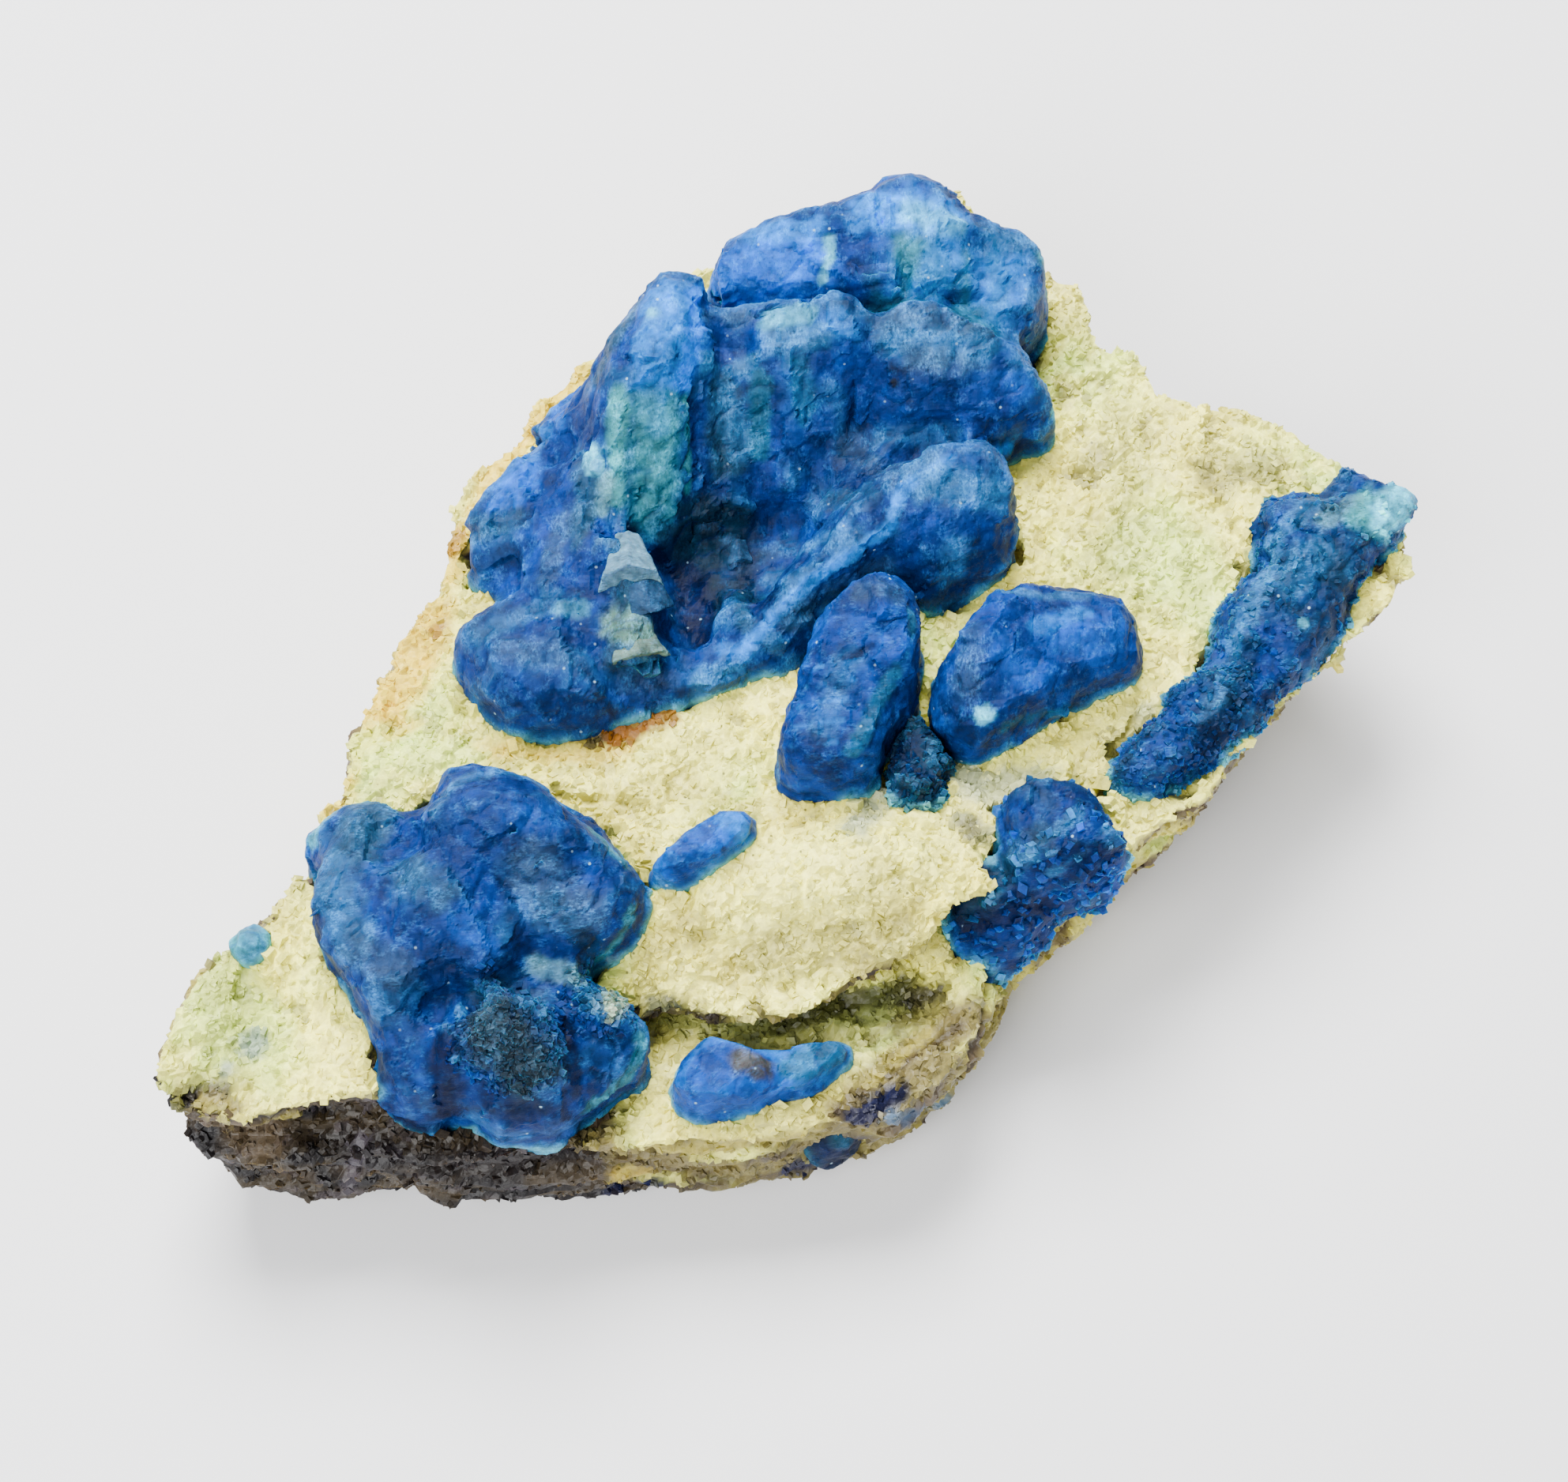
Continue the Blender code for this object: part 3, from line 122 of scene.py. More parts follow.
def copy_of(node, name):
    """A whole-skinned copy of a CAD node, to be given its natural surface."""
    piece = bpy.data.objects.new(name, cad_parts[node].data.copy())
    piece.data.materials.clear()
    bpy.context.scene.collection.objects.link(piece)
    pick(piece)
    bpy.ops.object.mode_set(mode="EDIT")
    bpy.ops.mesh.select_all(action="SELECT")
    bpy.ops.mesh.remove_doubles(threshold=0.001 * MM)
    bpy.ops.object.mode_set(mode="OBJECT")
    return piece


def work(piece, kind, **settings):
    """Adds one modifier to a piece and applies it."""
    pick(piece)
    modifier = piece.modifiers.new(kind.lower(), kind)
    for setting, value in settings.items():
        setattr(modifier, setting, value)
    bpy.ops.object.modifier_apply(modifier=modifier.name)


def vectors(piece, wanted):
    """The places or the normals of all points of a piece, one row each."""
    found = np.empty(3 * len(piece.data.vertices), np.float32)
    piece.data.vertices.foreach_get(wanted, found)
    return found.reshape(-1, 3).astype(float)


def move_to(piece, places):
    """Puts the points of a piece at new places."""
    piece.data.vertices.foreach_set("co", places.astype(np.float32).ravel())
    piece.data.update()


def step_up(low, high, value):
    """0 below low, 1 above high, and an even curve between; also falls if low is above high."""
    t = np.clip((value - low) / (high - low), 0, 1)
    return t * t * (3 - 2 * t)


def ripple(places, size, seed, stretch=(1, 1, 1)):
    """Smooth noise from about -1 to 1 at each place, with waves of one size."""
    scaled = places / (size * np.array(stretch)) + seed * SEED_STEP
    return np.array([noise.noise(row) for row in scaled.tolist()])


def blocks(places, size, seed):
    """Blocky relief from about -1 to 1: each block of the stone has its own height and lean."""
    rises = []
    for row in (places / size + seed * SEED_STEP).tolist():
        centre = noise.voronoi(row)[1][0]
        lean = noise.cell_vector(centre * 7.0) - Vector((0.5, 0.5, 0.5))
        step = noise.cell(centre * 5.0) - 0.5
        rises.append(BLOCK_LEAN * (Vector(row) - centre).dot(lean) + BLOCK_STEP * step)
    return np.array(rises)


def tree_of(piece):
    """The surface of a piece, ready for finding its nearest places."""
    return BVHTree.FromObject(piece, bpy.context.evaluated_depsgraph_get())


def seen(tree, x, y):
    """The place on a surface that the camera sees towards (x, y) mm on the level 15 mm up."""
    target = Vector((x * MM, y * MM, LOOK_LEVEL))
    hit = tree.ray_cast(camera_place, target - camera_place)[0]
    return hit if hit is not None else tree.find_nearest(target)[0]


def neighbours_mean(piece, values, rounds):
    """Evens out values over a surface by taking the mean of each point's neighbours, in rounds."""
    count = len(values)
    ends = np.empty(2 * len(piece.data.edges), np.int32)
    piece.data.edges.foreach_get("vertices", ends)
    near, far = ends.reshape(-1, 2).T
    share = np.bincount(near, minlength=count) + np.bincount(far, minlength=count)
    for _ in range(rounds):
        columns = [np.bincount(near, column[far], count) + np.bincount(far, column[near], count)
                   for column in values.T]
        values = np.column_stack(columns) / share[:, None]
    return values


def depth_in(piece, rounds):
    """How deep each point lies in a hollow, in metres; below 0 on a ridge."""
    places = vectors(piece, "co")
    evened = neighbours_mean(piece, places, rounds)
    return np.einsum("ij,ij->i", evened - places, vectors(piece, "normal"))


def tinge(tint, colour, amount):
    """Mixes a colour into the tint of each point."""
    return tint + (np.array(colour) - tint) * np.clip(amount, 0, 1)[:, None]


def cloud(tint, places, colour, strength, start, full, size, seed, stretch=(1, 1, 1)):
    """Tints soft clouds of one size in mm, from where the noise passes start to where it is full."""
    return tinge(tint, colour, strength * step_up(start, full, ripple(places, size * MM, seed, stretch)))


def dab(tint, places, tree, colour, strength, width, *path):
    """Tints the surface softly along a path of places, in mm as the camera sees them."""
    spots = [np.array(seen(tree, x, y)) for x, y in path]
    away = np.full(len(places), 1.0)
    for start, end in zip(spots, spots[1:] or spots):
        run = end - start
        along = np.clip((places - start) @ run / max(run @ run, 1e-12), 0, 1)
        away = np.minimum(away, np.linalg.norm(places - start - along[:, None] * run, axis=1))
    reach = width * MM
    close = np.flatnonzero(away < 1.4 * reach)
    if len(close):
        ragged = away[close] / reach + 0.3 * ripple(places[close], 0.45 * reach, width)
        amount = strength * step_up(1.0, 0.35, ragged)
        tint[close] = tinge(tint[close], colour, amount)
    return tint


def keep_tint(piece, tint, frost_and_top_light=None):
    """Stores the tint of each point on the piece, and how frosted it is with painted top light, for its
    finish to read.
    """
    layer = piece.data.attributes.new("tint", "FLOAT_COLOR", "POINT")
    full = np.column_stack([np.clip(tint, 0, 1), np.ones(len(tint)) if frost_and_top_light is None else frost_and_top_light])
    layer.data.foreach_set("color", full.astype(np.float32).ravel())


CREAM = (0.95, 0.88, 0.155)
GREEN_CREAM = (0.70, 0.84, 0.18)
PALE = (0.96, 0.92, 0.21)
SAND = (0.40, 0.34, 0.06)
HONEY = (0.78, 0.54, 0.03)
RUST = (0.22, 0.075, 0.004)
BROWN = (0.050, 0.034, 0.014)
TAUPE = (0.103, 0.073, 0.041)
SOOT = (0.006, 0.004, 0.005)
LILAC = (0.086, 0.073, 0.096)
GREEN_DIRT_AND_SHADOW = (0.130, 0.155, 0.040)
DEEP_GREEN = (0.026, 0.028, 0.005)
GREY_DIRT_AND_SHADE = (0.140, 0.125, 0.060)
INK = (0.0, 0.002, 0.027)
BLUE_STAIN = (0.016, 0.099, 0.239)
TAN = (0.155, 0.125, 0.042)
GREY_WHITE = (0.42, 0.46, 0.26)
DRUSE = (0.008, 0.030, 0.062)

MARBLE_CLOUDS = [
    (GREEN_CREAM, 1.0, -0.3, 0.5, 6.0, 5),
    (PALE, 0.7, -0.2, 0.4, 8.0, 17),
    (SAND, 0.5, 0.0, 0.5, 3.0, 6),
    (PALE, 0.7, 0.05, 0.4, 1.6, 7),
    (SAND, 0.35, 0.1, 0.4, 0.8, 18),
]
MARBLE_STAINS = [
    (HONEY, 0.75, 1.5, (-21.5, 2.6), (-19.8, 5.4)),
    (HONEY, 0.85, 1.3, (-19.6, 7.5), (-15.8, 15.2), (-11.8, 19.8)),
    (HONEY, 0.95, 2.8, (-23.8, -1.8), (-20.6, 3.6)),
    (HONEY, 0.7, 1.6, (-26.4, -5.6), (-23.6, -1.0)),
    (RUST, 0.75, 0.8, (-18.9, 7.6), (-18.4, 8.6)),
    (RUST, 0.9, 0.8, (-19.3, 2.6)),
    (SAND, 0.2, 2.6, (-21.5, 1.0), (-20.0, 4.5)),
    (HONEY, 0.55, 1.0, (-16.6, -4.6), (-12.0, -5.0), (-8.6, -4.6)),
    (BROWN, 0.95, 0.9, (-11.0, -3.9), (-8.4, -3.6), (-5.4, -2.2)),
    (RUST, 0.95, 0.9, (-9.4, -3.9), (-6.4, -2.7)),
    (RUST, 0.6, 0.4, (-8.8, -4.9)),
    (BROWN, 0.45, 0.8, (-21.7, -3.3)),
    (HONEY, 0.5, 0.8, (-20.3, -3.2)),
    (GREEN_CREAM, 0.7, 2.0, (-23.0, -4.6), (-17.6, -5.2)),
    (GREEN_DIRT_AND_SHADOW, 0.35, 1.2, (-18.0, -1.8)),
    (PALE, 0.6, 2.4, (-8.0, -6.4), (-3.4, -5.0)),
    (SAND, 0.4, 1.6, (-10.0, -8.4), (-6.0, -7.0), (-2.4, -8.4)),
    (GREY_DIRT_AND_SHADE, 0.6, 2.2, (27.0, 13.0), (24.4, 12.4)),
    (GREY_DIRT_AND_SHADE, 0.5, 1.4, (17.5, 13.5)),
    (GREY_DIRT_AND_SHADE, 0.5, 1.0, (16.0, 18.0)),
    (GREEN_CREAM, 0.7, 3.5, (20.0, 8.0), (24.0, 4.0)),
    (GREEN_CREAM, 0.8, 3.4, (-31.0, -16.0), (-27.4, -22.0)),
    (GREEN_DIRT_AND_SHADOW, 0.3, 2.4, (-30.0, -17.0), (-28.5, -21.5)),
    (DEEP_GREEN, 0.3, 1.2, (-28.4, -19.2)),
    (PALE, 0.9, 3.4, (0.5, -12.6), (8.5, -9.6)),
    (PALE, 0.7, 2.0, (-2.0, -14.4), (3.0, -12.0)),
    (GREY_DIRT_AND_SHADE, 0.45, 2.2, (-1.0, -16.8), (5.4, -16.0)),
    (SAND, 0.5, 1.2, (-4.6, -16.0), (-2.6, -18.2)),
    (SAND, 0.6, 1.4, (-7.4, -16.4), (-4.6, -15.0)),
    (GREY_DIRT_AND_SHADE, 0.35, 3.4, (-6.4, -22.4), (0.6, -24.6), (5.6, -20.4)),
    (GREY_DIRT_AND_SHADE, 0.3, 2.6, (4.6, -12.6), (8.4, -15.6)),
    (GREY_DIRT_AND_SHADE, 0.3, 3.0, (18.0, 8.0), (19.6, 15.4)),
    (GREY_DIRT_AND_SHADE, 0.25, 2.6, (-29.6, -14.0), (-26.8, -11.0)),
    # Painted shadow: the dark green band under the overhanging lip of the ledge.
    (GREEN_DIRT_AND_SHADOW, 0.75, 1.5, (-5.6, -20.0), (0.4, -20.8), (5.6, -19.4)),
    (DEEP_GREEN, 0.9, 1.2, (-5.6, -19.7), (0.4, -20.3), (3.0, -19.2), (6.4, -18.2)),
    (SOOT, 0.85, 0.8, (6.4, -19.2), (7.9, -18.6)),
    (BROWN, 0.7, 0.8, (5.6, -20.6), (8.4, -19.6)),
    (SAND, 0.7, 1.2, (2.4, -24.8), (6.0, -22.4), (9.0, -20.4)),
    (BLUE_STAIN, 0.6, 1.4, (-27.6, -21.6)),
    (BLUE_STAIN, 0.7, 0.7, (-29.0, -23.0)),
    (BLUE_STAIN, 0.6, 1.3, (4.8, -7.4), (3.8, -9.2)),
    (BLUE_STAIN, 0.5, 0.8, (8.6, -5.4), (10.4, -6.8)),
    (DRUSE, 0.95, 1.5, (5.6, -3.0), (6.8, -4.6)),
    (DRUSE, 0.9, 1.2, (6.4, -6.2), (7.6, -7.6)),
    (DRUSE, 0.75, 1.1, (9.4, -8.8), (10.6, -9.8)),
    (DRUSE, 0.8, 1.0, (-6.9, -19.4), (-5.8, -20.0)),
    (BLUE_STAIN, 0.5, 1.0, (-13.4, -17.4), (-10.6, -18.4)),
    (BROWN, 0.7, 0.7, (33.2, 6.2), (33.4, 7.8)),
    (GREY_WHITE, 0.85, 1.6, (8.6, -6.0), (10.6, -7.4), (13.6, -6.6)),
    (GREY_WHITE, 0.7, 1.2, (19.6, -2.6), (20.4, -6.4)),
    (GREY_DIRT_AND_SHADE, 0.6, 1.0, (9.6, -9.6), (11.4, -9.0)),
    (GREY_WHITE, 0.6, 1.4, (-13.0, -17.2), (-10.4, -18.6)),
]
RIGHT_LAYERS = [
    (TAN, 0.95, 1.7, (-9.4, -27.4), (-4.4, -28.2), (0.4, -27.6), (4.0, -24.6), (7.0, -21.9), (9.8, -19.8)),
    (TAN, 0.95, 1.8, (3.6, -28.4), (7.4, -25.8), (10.4, -21.8)),
    (BROWN, 0.75, 0.6, (-8.4, -27.9), (-3.4, -28.9), (1.4, -27.9)),
    (BROWN, 0.85, 0.55, (2.6, -25.4), (6.0, -22.6), (9.0, -20.6)),
    (SOOT, 0.75, 0.7, (1.6, -27.2), (4.6, -24.6), (6.2, -24.0)),
    (TAUPE, 0.7, 0.6, (5.2, -26.4), (7.8, -24.0), (10.0, -21.2)),
    (SAND, 0.7, 0.5, (4.4, -23.6), (7.4, -21.0)),
    (INK, 0.95, 1.2, (0.4, -28.2), (2.8, -26.8)),
    (INK, 0.95, 1.0, (3.4, -25.6), (5.6, -24.4)),
    (BLUE_STAIN, 0.6, 0.7, (7.0, -26.4), (8.2, -24.6)),
    (INK, 0.9, 0.7, (-9.0, -29.3), (-6.6, -29.1)),
]
WALL_STAINS = [
    (SOOT, 0.85, 2.4, (-22.0, -27.6), (-16.0, -28.0), (-12.0, -28.4)),
    (SOOT, 0.6, 1.2, (-15.8, -30.0), (-13.0, -30.2)),
    (BROWN, 0.6, 1.4, (-12.5, -28.8), (-6.0, -29.0), (-1.0, -28.6)),
    (TAUPE, 0.7, 2.2, (-31.0, -25.6), (-27.0, -26.6)),
    (SAND, 0.5, 0.8, (-30.0, -24.8), (-25.6, -25.6)),
    (LILAC, 0.5, 0.6, (-22.4, -29.6), (-20.8, -29.8)),
    (SAND, 0.8, 0.9, (-10.0, -26.9), (-5.0, -27.5), (0.4, -26.6), (4.4, -23.9), (8.6, -21.0)),
    (HONEY, 0.35, 0.7, (-8.6, -28.6), (-6.8, -28.5)),
    (INK, 0.85, 0.9, (-9.0, -29.2), (-6.6, -29.0)),
    (INK, 0.95, 1.3, (0.4, -28.0), (3.0, -26.6)),
    (INK, 0.95, 1.2, (2.6, -25.6), (5.2, -24.2)),
    (SOOT, 0.7, 0.7, (3.4, -25.4), (4.8, -24.6)),
    (TAUPE, 0.6, 1.2, (4.6, -27.2), (7.4, -24.6), (9.8, -21.8)),
    (BLUE_STAIN, 0.6, 0.8, (6.4, -27.0), (7.8, -25.0)),
    (INK, 0.6, 0.8, (8.6, -22.4), (10.2, -20.6)),
]

matrix = copy_of("matrix", "calcite_matrix")
work(matrix, "REMESH", mode="VOXEL", voxel_size=MARBLE_VOXEL)
work(matrix, "SMOOTH", factor=0.5, iterations=4)
places, normals = vectors(matrix, "co"), vectors(matrix, "normal")
lifted = step_up(0.05 * MM, 0.8 * MM, places[:, 2])
upward = step_up(0.15, 0.6, normals[:, 2])
front_wall = (1 - upward) * step_up(-0.1, 0.35, -normals[:, 1])
front_wall *= step_up(-9 * MM, -16 * MM, places[:, 1])
rise = 0.22 * MM * ripple(places, 2.2 * MM, 1)
rise += 0.22 * MM * blocks(places, 2.6 * MM, 2)
rise += 0.12 * MM * blocks(places, 0.9 * MM, 3)
rise *= 0.5 + 0.5 * step_up(1.5 * MM, 6 * MM, places[:, 2])
rise += front_wall * 0.55 * MM * ripple(places, 1.0 * MM, 4, WALL_LAYERS)
crystal_corners = []
crystal_faces = []
for name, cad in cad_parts.items():
    if name != "matrix":
        first = len(crystal_corners)
        crystal_corners += [corner.co.copy() for corner in cad.data.vertices]
        crystal_faces += [[first + corner for corner in face.vertices] for face in cad.data.polygons]
crystals_tree = BVHTree.FromPolygons(crystal_corners, crystal_faces)
nearest = [crystals_tree.find_nearest(row, MARBLE_REACH) for row in places.tolist()]
away = np.array([hit[3] if hit[0] is not None else MARBLE_REACH for hit in nearest])
to_crystal = np.array([hit[0] if hit[0] is not None else row
                       for hit, row in zip(nearest, places.tolist())])
drawn = step_up(MARBLE_REACH, 0.45 * MM, away)[:, None] * (to_crystal - places) * 1.2
places = places + normals * (rise * lifted * step_up(0.2 * MM, MARBLE_REACH, away))[:, None] + drawn
places[:, 2] = np.maximum(places[:, 2], 0)
move_to(matrix, places)
normals = vectors(matrix, "normal")
marble_tree = tree_of(matrix)

tint = np.tile(CREAM, (len(places), 1))
for one in MARBLE_CLOUDS:
    tint = cloud(tint, places, *one)
# Painted shade: the marble is greyed in its hollows.
hollow = depth_in(matrix, 12)
tint = tinge(tint, GREY_DIRT_AND_SHADE, 0.6 * step_up(0.05 * MM, 0.3 * MM, hollow))
for stain in MARBLE_STAINS:
    tint = dab(tint, places, marble_tree, *stain)
layers = ripple(places, 1.0 * MM, 8, (5.0, 5.0, 0.7))
wall = tinge(np.tile(SAND, (len(places), 1)), TAUPE, step_up(-0.3, 0.3, layers))
wall = cloud(wall, places, CREAM, 0.6, 0.0, 0.5, 2.6, 9)
dark_wall = tinge(np.tile(BROWN, (len(places), 1)), SOOT, step_up(-0.35, 0.2, layers))
dark_wall = cloud(dark_wall, places, TAUPE, 0.55, 0.15, 0.45, 0.9, 10, (3.0, 3.0, 0.6))
dark_wall = cloud(dark_wall, places, LILAC, 0.5, 0.25, 0.5, 0.7, 11, (1.8, 1.8, 0.8))
# Painted shade: the near side wall faces away from the main light, and its layered colours are darkened
# further.
dark_wall *= NEAR_WALL_SHADE
# The rim below the left front gets the same dark wall with its painted shade, whichever way it faces.
under_rim = step_up(-7 * MM, -10 * MM, places[:, 0]) * step_up(-21 * MM, -23 * MM, places[:, 1])
near_side = np.maximum(step_up(0.0, 0.4, -normals[:, 1]), under_rim)
near_side *= step_up(14 * MM, 8 * MM, places[:, 0])
near_side *= 0.6 + 0.4 * step_up(0 * MM, -9 * MM, places[:, 0])
wall = wall + (dark_wall - wall) * near_side[:, None]
for stain in WALL_STAINS:
    wall = dab(wall, places, marble_tree, *stain)
side = (1 - upward) * step_up(12.9 * MM, 12.1 * MM, places[:, 2])
side = np.maximum(side, under_rim * step_up(12.2 * MM, 11.4 * MM, places[:, 2]))
tint = tint + (wall - tint) * side[:, None]
for stain in RIGHT_LAYERS:
    tint = dab(tint, places, marble_tree, *stain)
keep_tint(matrix, tint)


def stone_finish(name, roughness, gloss, glow, glow_radius, glow_depth):
    """A new Principled finish whose light enters the stone a little way."""
    finish = bpy.data.materials.new(name)
    finish.use_nodes = True
    shader = finish.node_tree.nodes["Principled BSDF"]
    shader.inputs["Roughness"].default_value = roughness
    shader.inputs["Specular IOR Level"].default_value = gloss
    shader.inputs["Subsurface Weight"].default_value = glow
    shader.inputs["Subsurface Radius"].default_value = glow_radius
    shader.inputs["Subsurface Scale"].default_value = glow_depth
    return finish, shader


def node(finish, kind, **settings):
    """One more node of a finish; a setting that names an input sets that input."""
    made = finish.node_tree.nodes.new("ShaderNode" + kind)
    for setting, value in settings.items():
        if hasattr(made, setting):
            setattr(made, setting, value)
        else:
            made.inputs[setting.replace("_", " ")].default_value = value
    return made


def join(finish, source, target):
    """Wires one socket of a finish to another."""
    finish.node_tree.links.new(source, target)


def pattern(finish, kind, where, size, **settings):
    """A texture of one size that follows the given places."""
    made = node(finish, kind, Scale=1 / size, **settings)
    join(finish, where, made.inputs["Vector"])
    return made


def facets(finish, size, tilt, seed):
    """A normal that leans another way in each cell of one size, the cells, and places on the stone."""
    where = node(finish, "TexCoord").outputs["Object"]
    shift = node(finish, "Mapping", Location=(seed, seed * 2, seed * 3))
    join(finish, where, shift.inputs["Vector"])
    cells = pattern(finish, "TexVoronoi", shift.outputs["Vector"], size)
    centred = node(finish, "VectorMath", operation="SUBTRACT")
    centred.inputs[1].default_value = (0.5, 0.5, 0.5)
    join(finish, cells.outputs["Color"], centred.inputs[0])
    lean = node(finish, "VectorMath", operation="SCALE", Scale=tilt)
    join(finish, centred.outputs["Vector"], lean.inputs[0])
    surface = node(finish, "NewGeometry")
    leant = node(finish, "VectorMath", operation="ADD")
    join(finish, surface.outputs["Normal"], leant.inputs[0])
    join(finish, lean.outputs["Vector"], leant.inputs[1])
    even = node(finish, "VectorMath", operation="NORMALIZE")
    join(finish, leant.outputs["Vector"], even.inputs[0])
    return even.outputs["Vector"], cells, where


def parts_of(finish, colour):
    """The red, green and blue of a colour."""
    made = node(finish, "SeparateColor")
    join(finish, colour, made.inputs["Color"])
    return made.outputs


def times(finish, colour, factor):
    """A colour multiplied by a value at each place."""
    scaled = node(finish, "VectorMath", operation="SCALE")
    join(finish, colour, scaled.inputs[0])
    join(finish, factor, scaled.inputs["Scale"])
    return scaled.outputs["Vector"]


def ranged(finish, value, old, new):
    """A value moved from its old range to a new one."""
    moved = node(finish, "MapRange", From_Min=old[0], From_Max=old[1], To_Min=new[0], To_Max=new[1])
    join(finish, value, moved.inputs["Value"])
    return moved.outputs["Result"]


SUGAR_SIZE = 0.42 * MM
SUGAR_TILT = 0.45
DUST_SIZE = 0.2 * MM
SPECK_SPACING = 1.1 * MM
marble, marble_shader = stone_finish("sugary_marble", roughness=0.45, gloss=0.3, glow=0.2,
                                     glow_radius=(1.0, 0.9, 0.6), glow_depth=0.5 * MM)
marble_tint = node(marble, "Attribute", attribute_name="tint")
leaning, sugar_cells, marble_where = facets(marble, SUGAR_SIZE, SUGAR_TILT, 0.0)
tone = ranged(marble, parts_of(marble, sugar_cells.outputs["Color"])["Green"], (0, 1), (0.86, 1.08))
toned = times(marble, marble_tint.outputs["Color"], tone)
dust = pattern(marble, "TexNoise", marble_where, DUST_SIZE, Detail=3.0)
toned = times(marble, toned, ranged(marble, dust.outputs["Fac"], (0.3, 0.7), (0.85, 1.12)))
specks = pattern(marble, "TexVoronoi", marble_where, SPECK_SPACING)
toned = times(marble, toned, ranged(marble, specks.outputs["Distance"], (0.05, 0.09), (0.25, 1.0)))
join(marble, toned, marble_shader.inputs["Base Color"])
marble_bump = node(marble, "Bump", Strength=0.5, Distance=0.08 * MM)
join(marble, dust.outputs["Fac"], marble_bump.inputs["Height"])
join(marble, leaning, marble_bump.inputs["Normal"])
join(marble, marble_bump.outputs["Normal"], marble_shader.inputs["Normal"])
matrix.data.materials.append(marble)
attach(matrix, "root")
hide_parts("matrix")


# Sugar grains are the single calcite crystals of the marble: broken rhombs a fifth to three
# quarters of a millimetre across, grown into its surface on the open face, on the walls and back,
# and at the feet of the blue crystals.
RHOMB_SLANT = 0.35
GRAIN_FROST = 0.3


def scatter(name, host, finish, count, sizes, likely, lightness, seed, sink=0.15):
    """One joined mesh of many small slanted crystals that sit in the skin of a host piece."""
    bpy.ops.mesh.primitive_cube_add(size=1)
    rhomb = bpy.context.object
    corners = vectors(rhomb, "co")
    corners[:, 0] += RHOMB_SLANT * corners[:, 1]
    corners[:, 1] += RHOMB_SLANT * corners[:, 2]
    sides = np.array([list(face.vertices) for face in rhomb.data.polygons])
    bpy.data.objects.remove(rhomb)
    host_mesh = host.data
    host_mesh.calc_loop_triangles()
    thirds = np.empty(3 * len(host_mesh.loop_triangles), np.int32)
    host_mesh.loop_triangles.foreach_get("vertices", thirds)
    thirds = thirds.reshape(-1, 3)
    places, normals = vectors(host, "co"), vectors(host, "normal")
    first, second, third = (places[thirds[:, corner]] for corner in range(3))
    area = np.linalg.norm(np.cross(second - first, third - first), axis=1)
    weight = area * likely[thirds].mean(axis=1)
    chance = np.random.default_rng(seed)
    chosen = chance.choice(len(thirds), count, p=weight / weight.sum())
    share = chance.dirichlet((1, 1, 1), count)
    centres = sum(share[:, [corner]] * places[thirds[chosen, corner]] for corner in range(3))
    outward = normals[thirds[chosen, 0]]
    across = chance.uniform(*sizes, count)
    spin = chance.normal(size=(count, 4))
    w, x, y, z = (spin / np.linalg.norm(spin, axis=1)[:, None]).T
    turn = np.array([[1 - 2 * (y * y + z * z), 2 * (x * y - z * w), 2 * (x * z + y * w)],
                     [2 * (x * y + z * w), 1 - 2 * (x * x + z * z), 2 * (y * z - x * w)],
                     [2 * (x * z - y * w), 2 * (y * z + x * w), 1 - 2 * (x * x + y * y)]])
    stretch = across[:, None] * chance.uniform(0.6, 1.15, (count, 3))
    shaped = corners[None] * stretch[:, None, :]
    points = np.einsum("ijn,nkj->nki", turn, shaped)
    points += (centres - outward * (sink * across)[:, None])[:, None, :]
    points[:, :, 2] = np.maximum(points[:, :, 2], 0)
    faces = (sides[None] + (len(corners) * np.arange(count))[:, None, None]).reshape(-1, 4)
    mesh = bpy.data.meshes.new(name)
    mesh.from_pydata(points.reshape(-1, 3).tolist(), [], faces.tolist())
    piece = bpy.data.objects.new(name, mesh)
    bpy.context.scene.collection.objects.link(piece)
    host_tint = np.empty(4 * len(places), np.float32)
    host_mesh.attributes["tint"].data.foreach_get("color", host_tint)
    own = np.repeat(host_tint.reshape(-1, 4)[thirds[chosen, 0]], len(corners), axis=0)
    brighter = np.repeat(chance.uniform(*lightness, count), len(corners))
    keep_tint(piece, own[:, :3] * brighter[:, None], GRAIN_FROST * own[:, 3])
    piece.data.materials.append(finish)
    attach(piece, "root")


open_face = upward * step_up(-0.1 * MM, 0.3 * MM, away)
sides_and_back = (1 - upward) * step_up(0.2 * MM, 0.8 * MM, away)
beside_crystals = step_up(1.0 * MM, 0.5 * MM, away) * step_up(-0.2, 0.2, normals[:, 2])
beside_crystals *= step_up(3 * MM, 5 * MM, places[:, 2]) * step_up(-0.1, 0.4, ripple(places, 2.0 * MM, 19))
scatter("face_grains", matrix, marble, count=15000, sizes=(0.18 * MM, 0.46 * MM),
        likely=open_face, lightness=(0.86, 1.1), seed=5)
scatter("wall_grains", matrix, marble, count=11000, sizes=(0.2 * MM, 0.46 * MM),
        likely=sides_and_back, lightness=(0.7, 1.15), seed=6, sink=0.3)
scatter("foot_grains", matrix, marble, count=2600, sizes=(0.3 * MM, 0.75 * MM),
        likely=beside_crystals, lightness=(0.85, 1.12), seed=7, sink=-0.05)


# Every hackmanite piece is a frosted, slightly see-through blue crystal or group of crystals that
# grew together. Where one leaves the marble it spreads a little and turns pale. These are the
# steps that all of them share.
FOOT_REACH = 0.9 * MM
FOOT_SPREAD = 0.22 * MM
FACE_LEAN = 0.6
FACE_START = 31.7
FLATTENED = 0.8


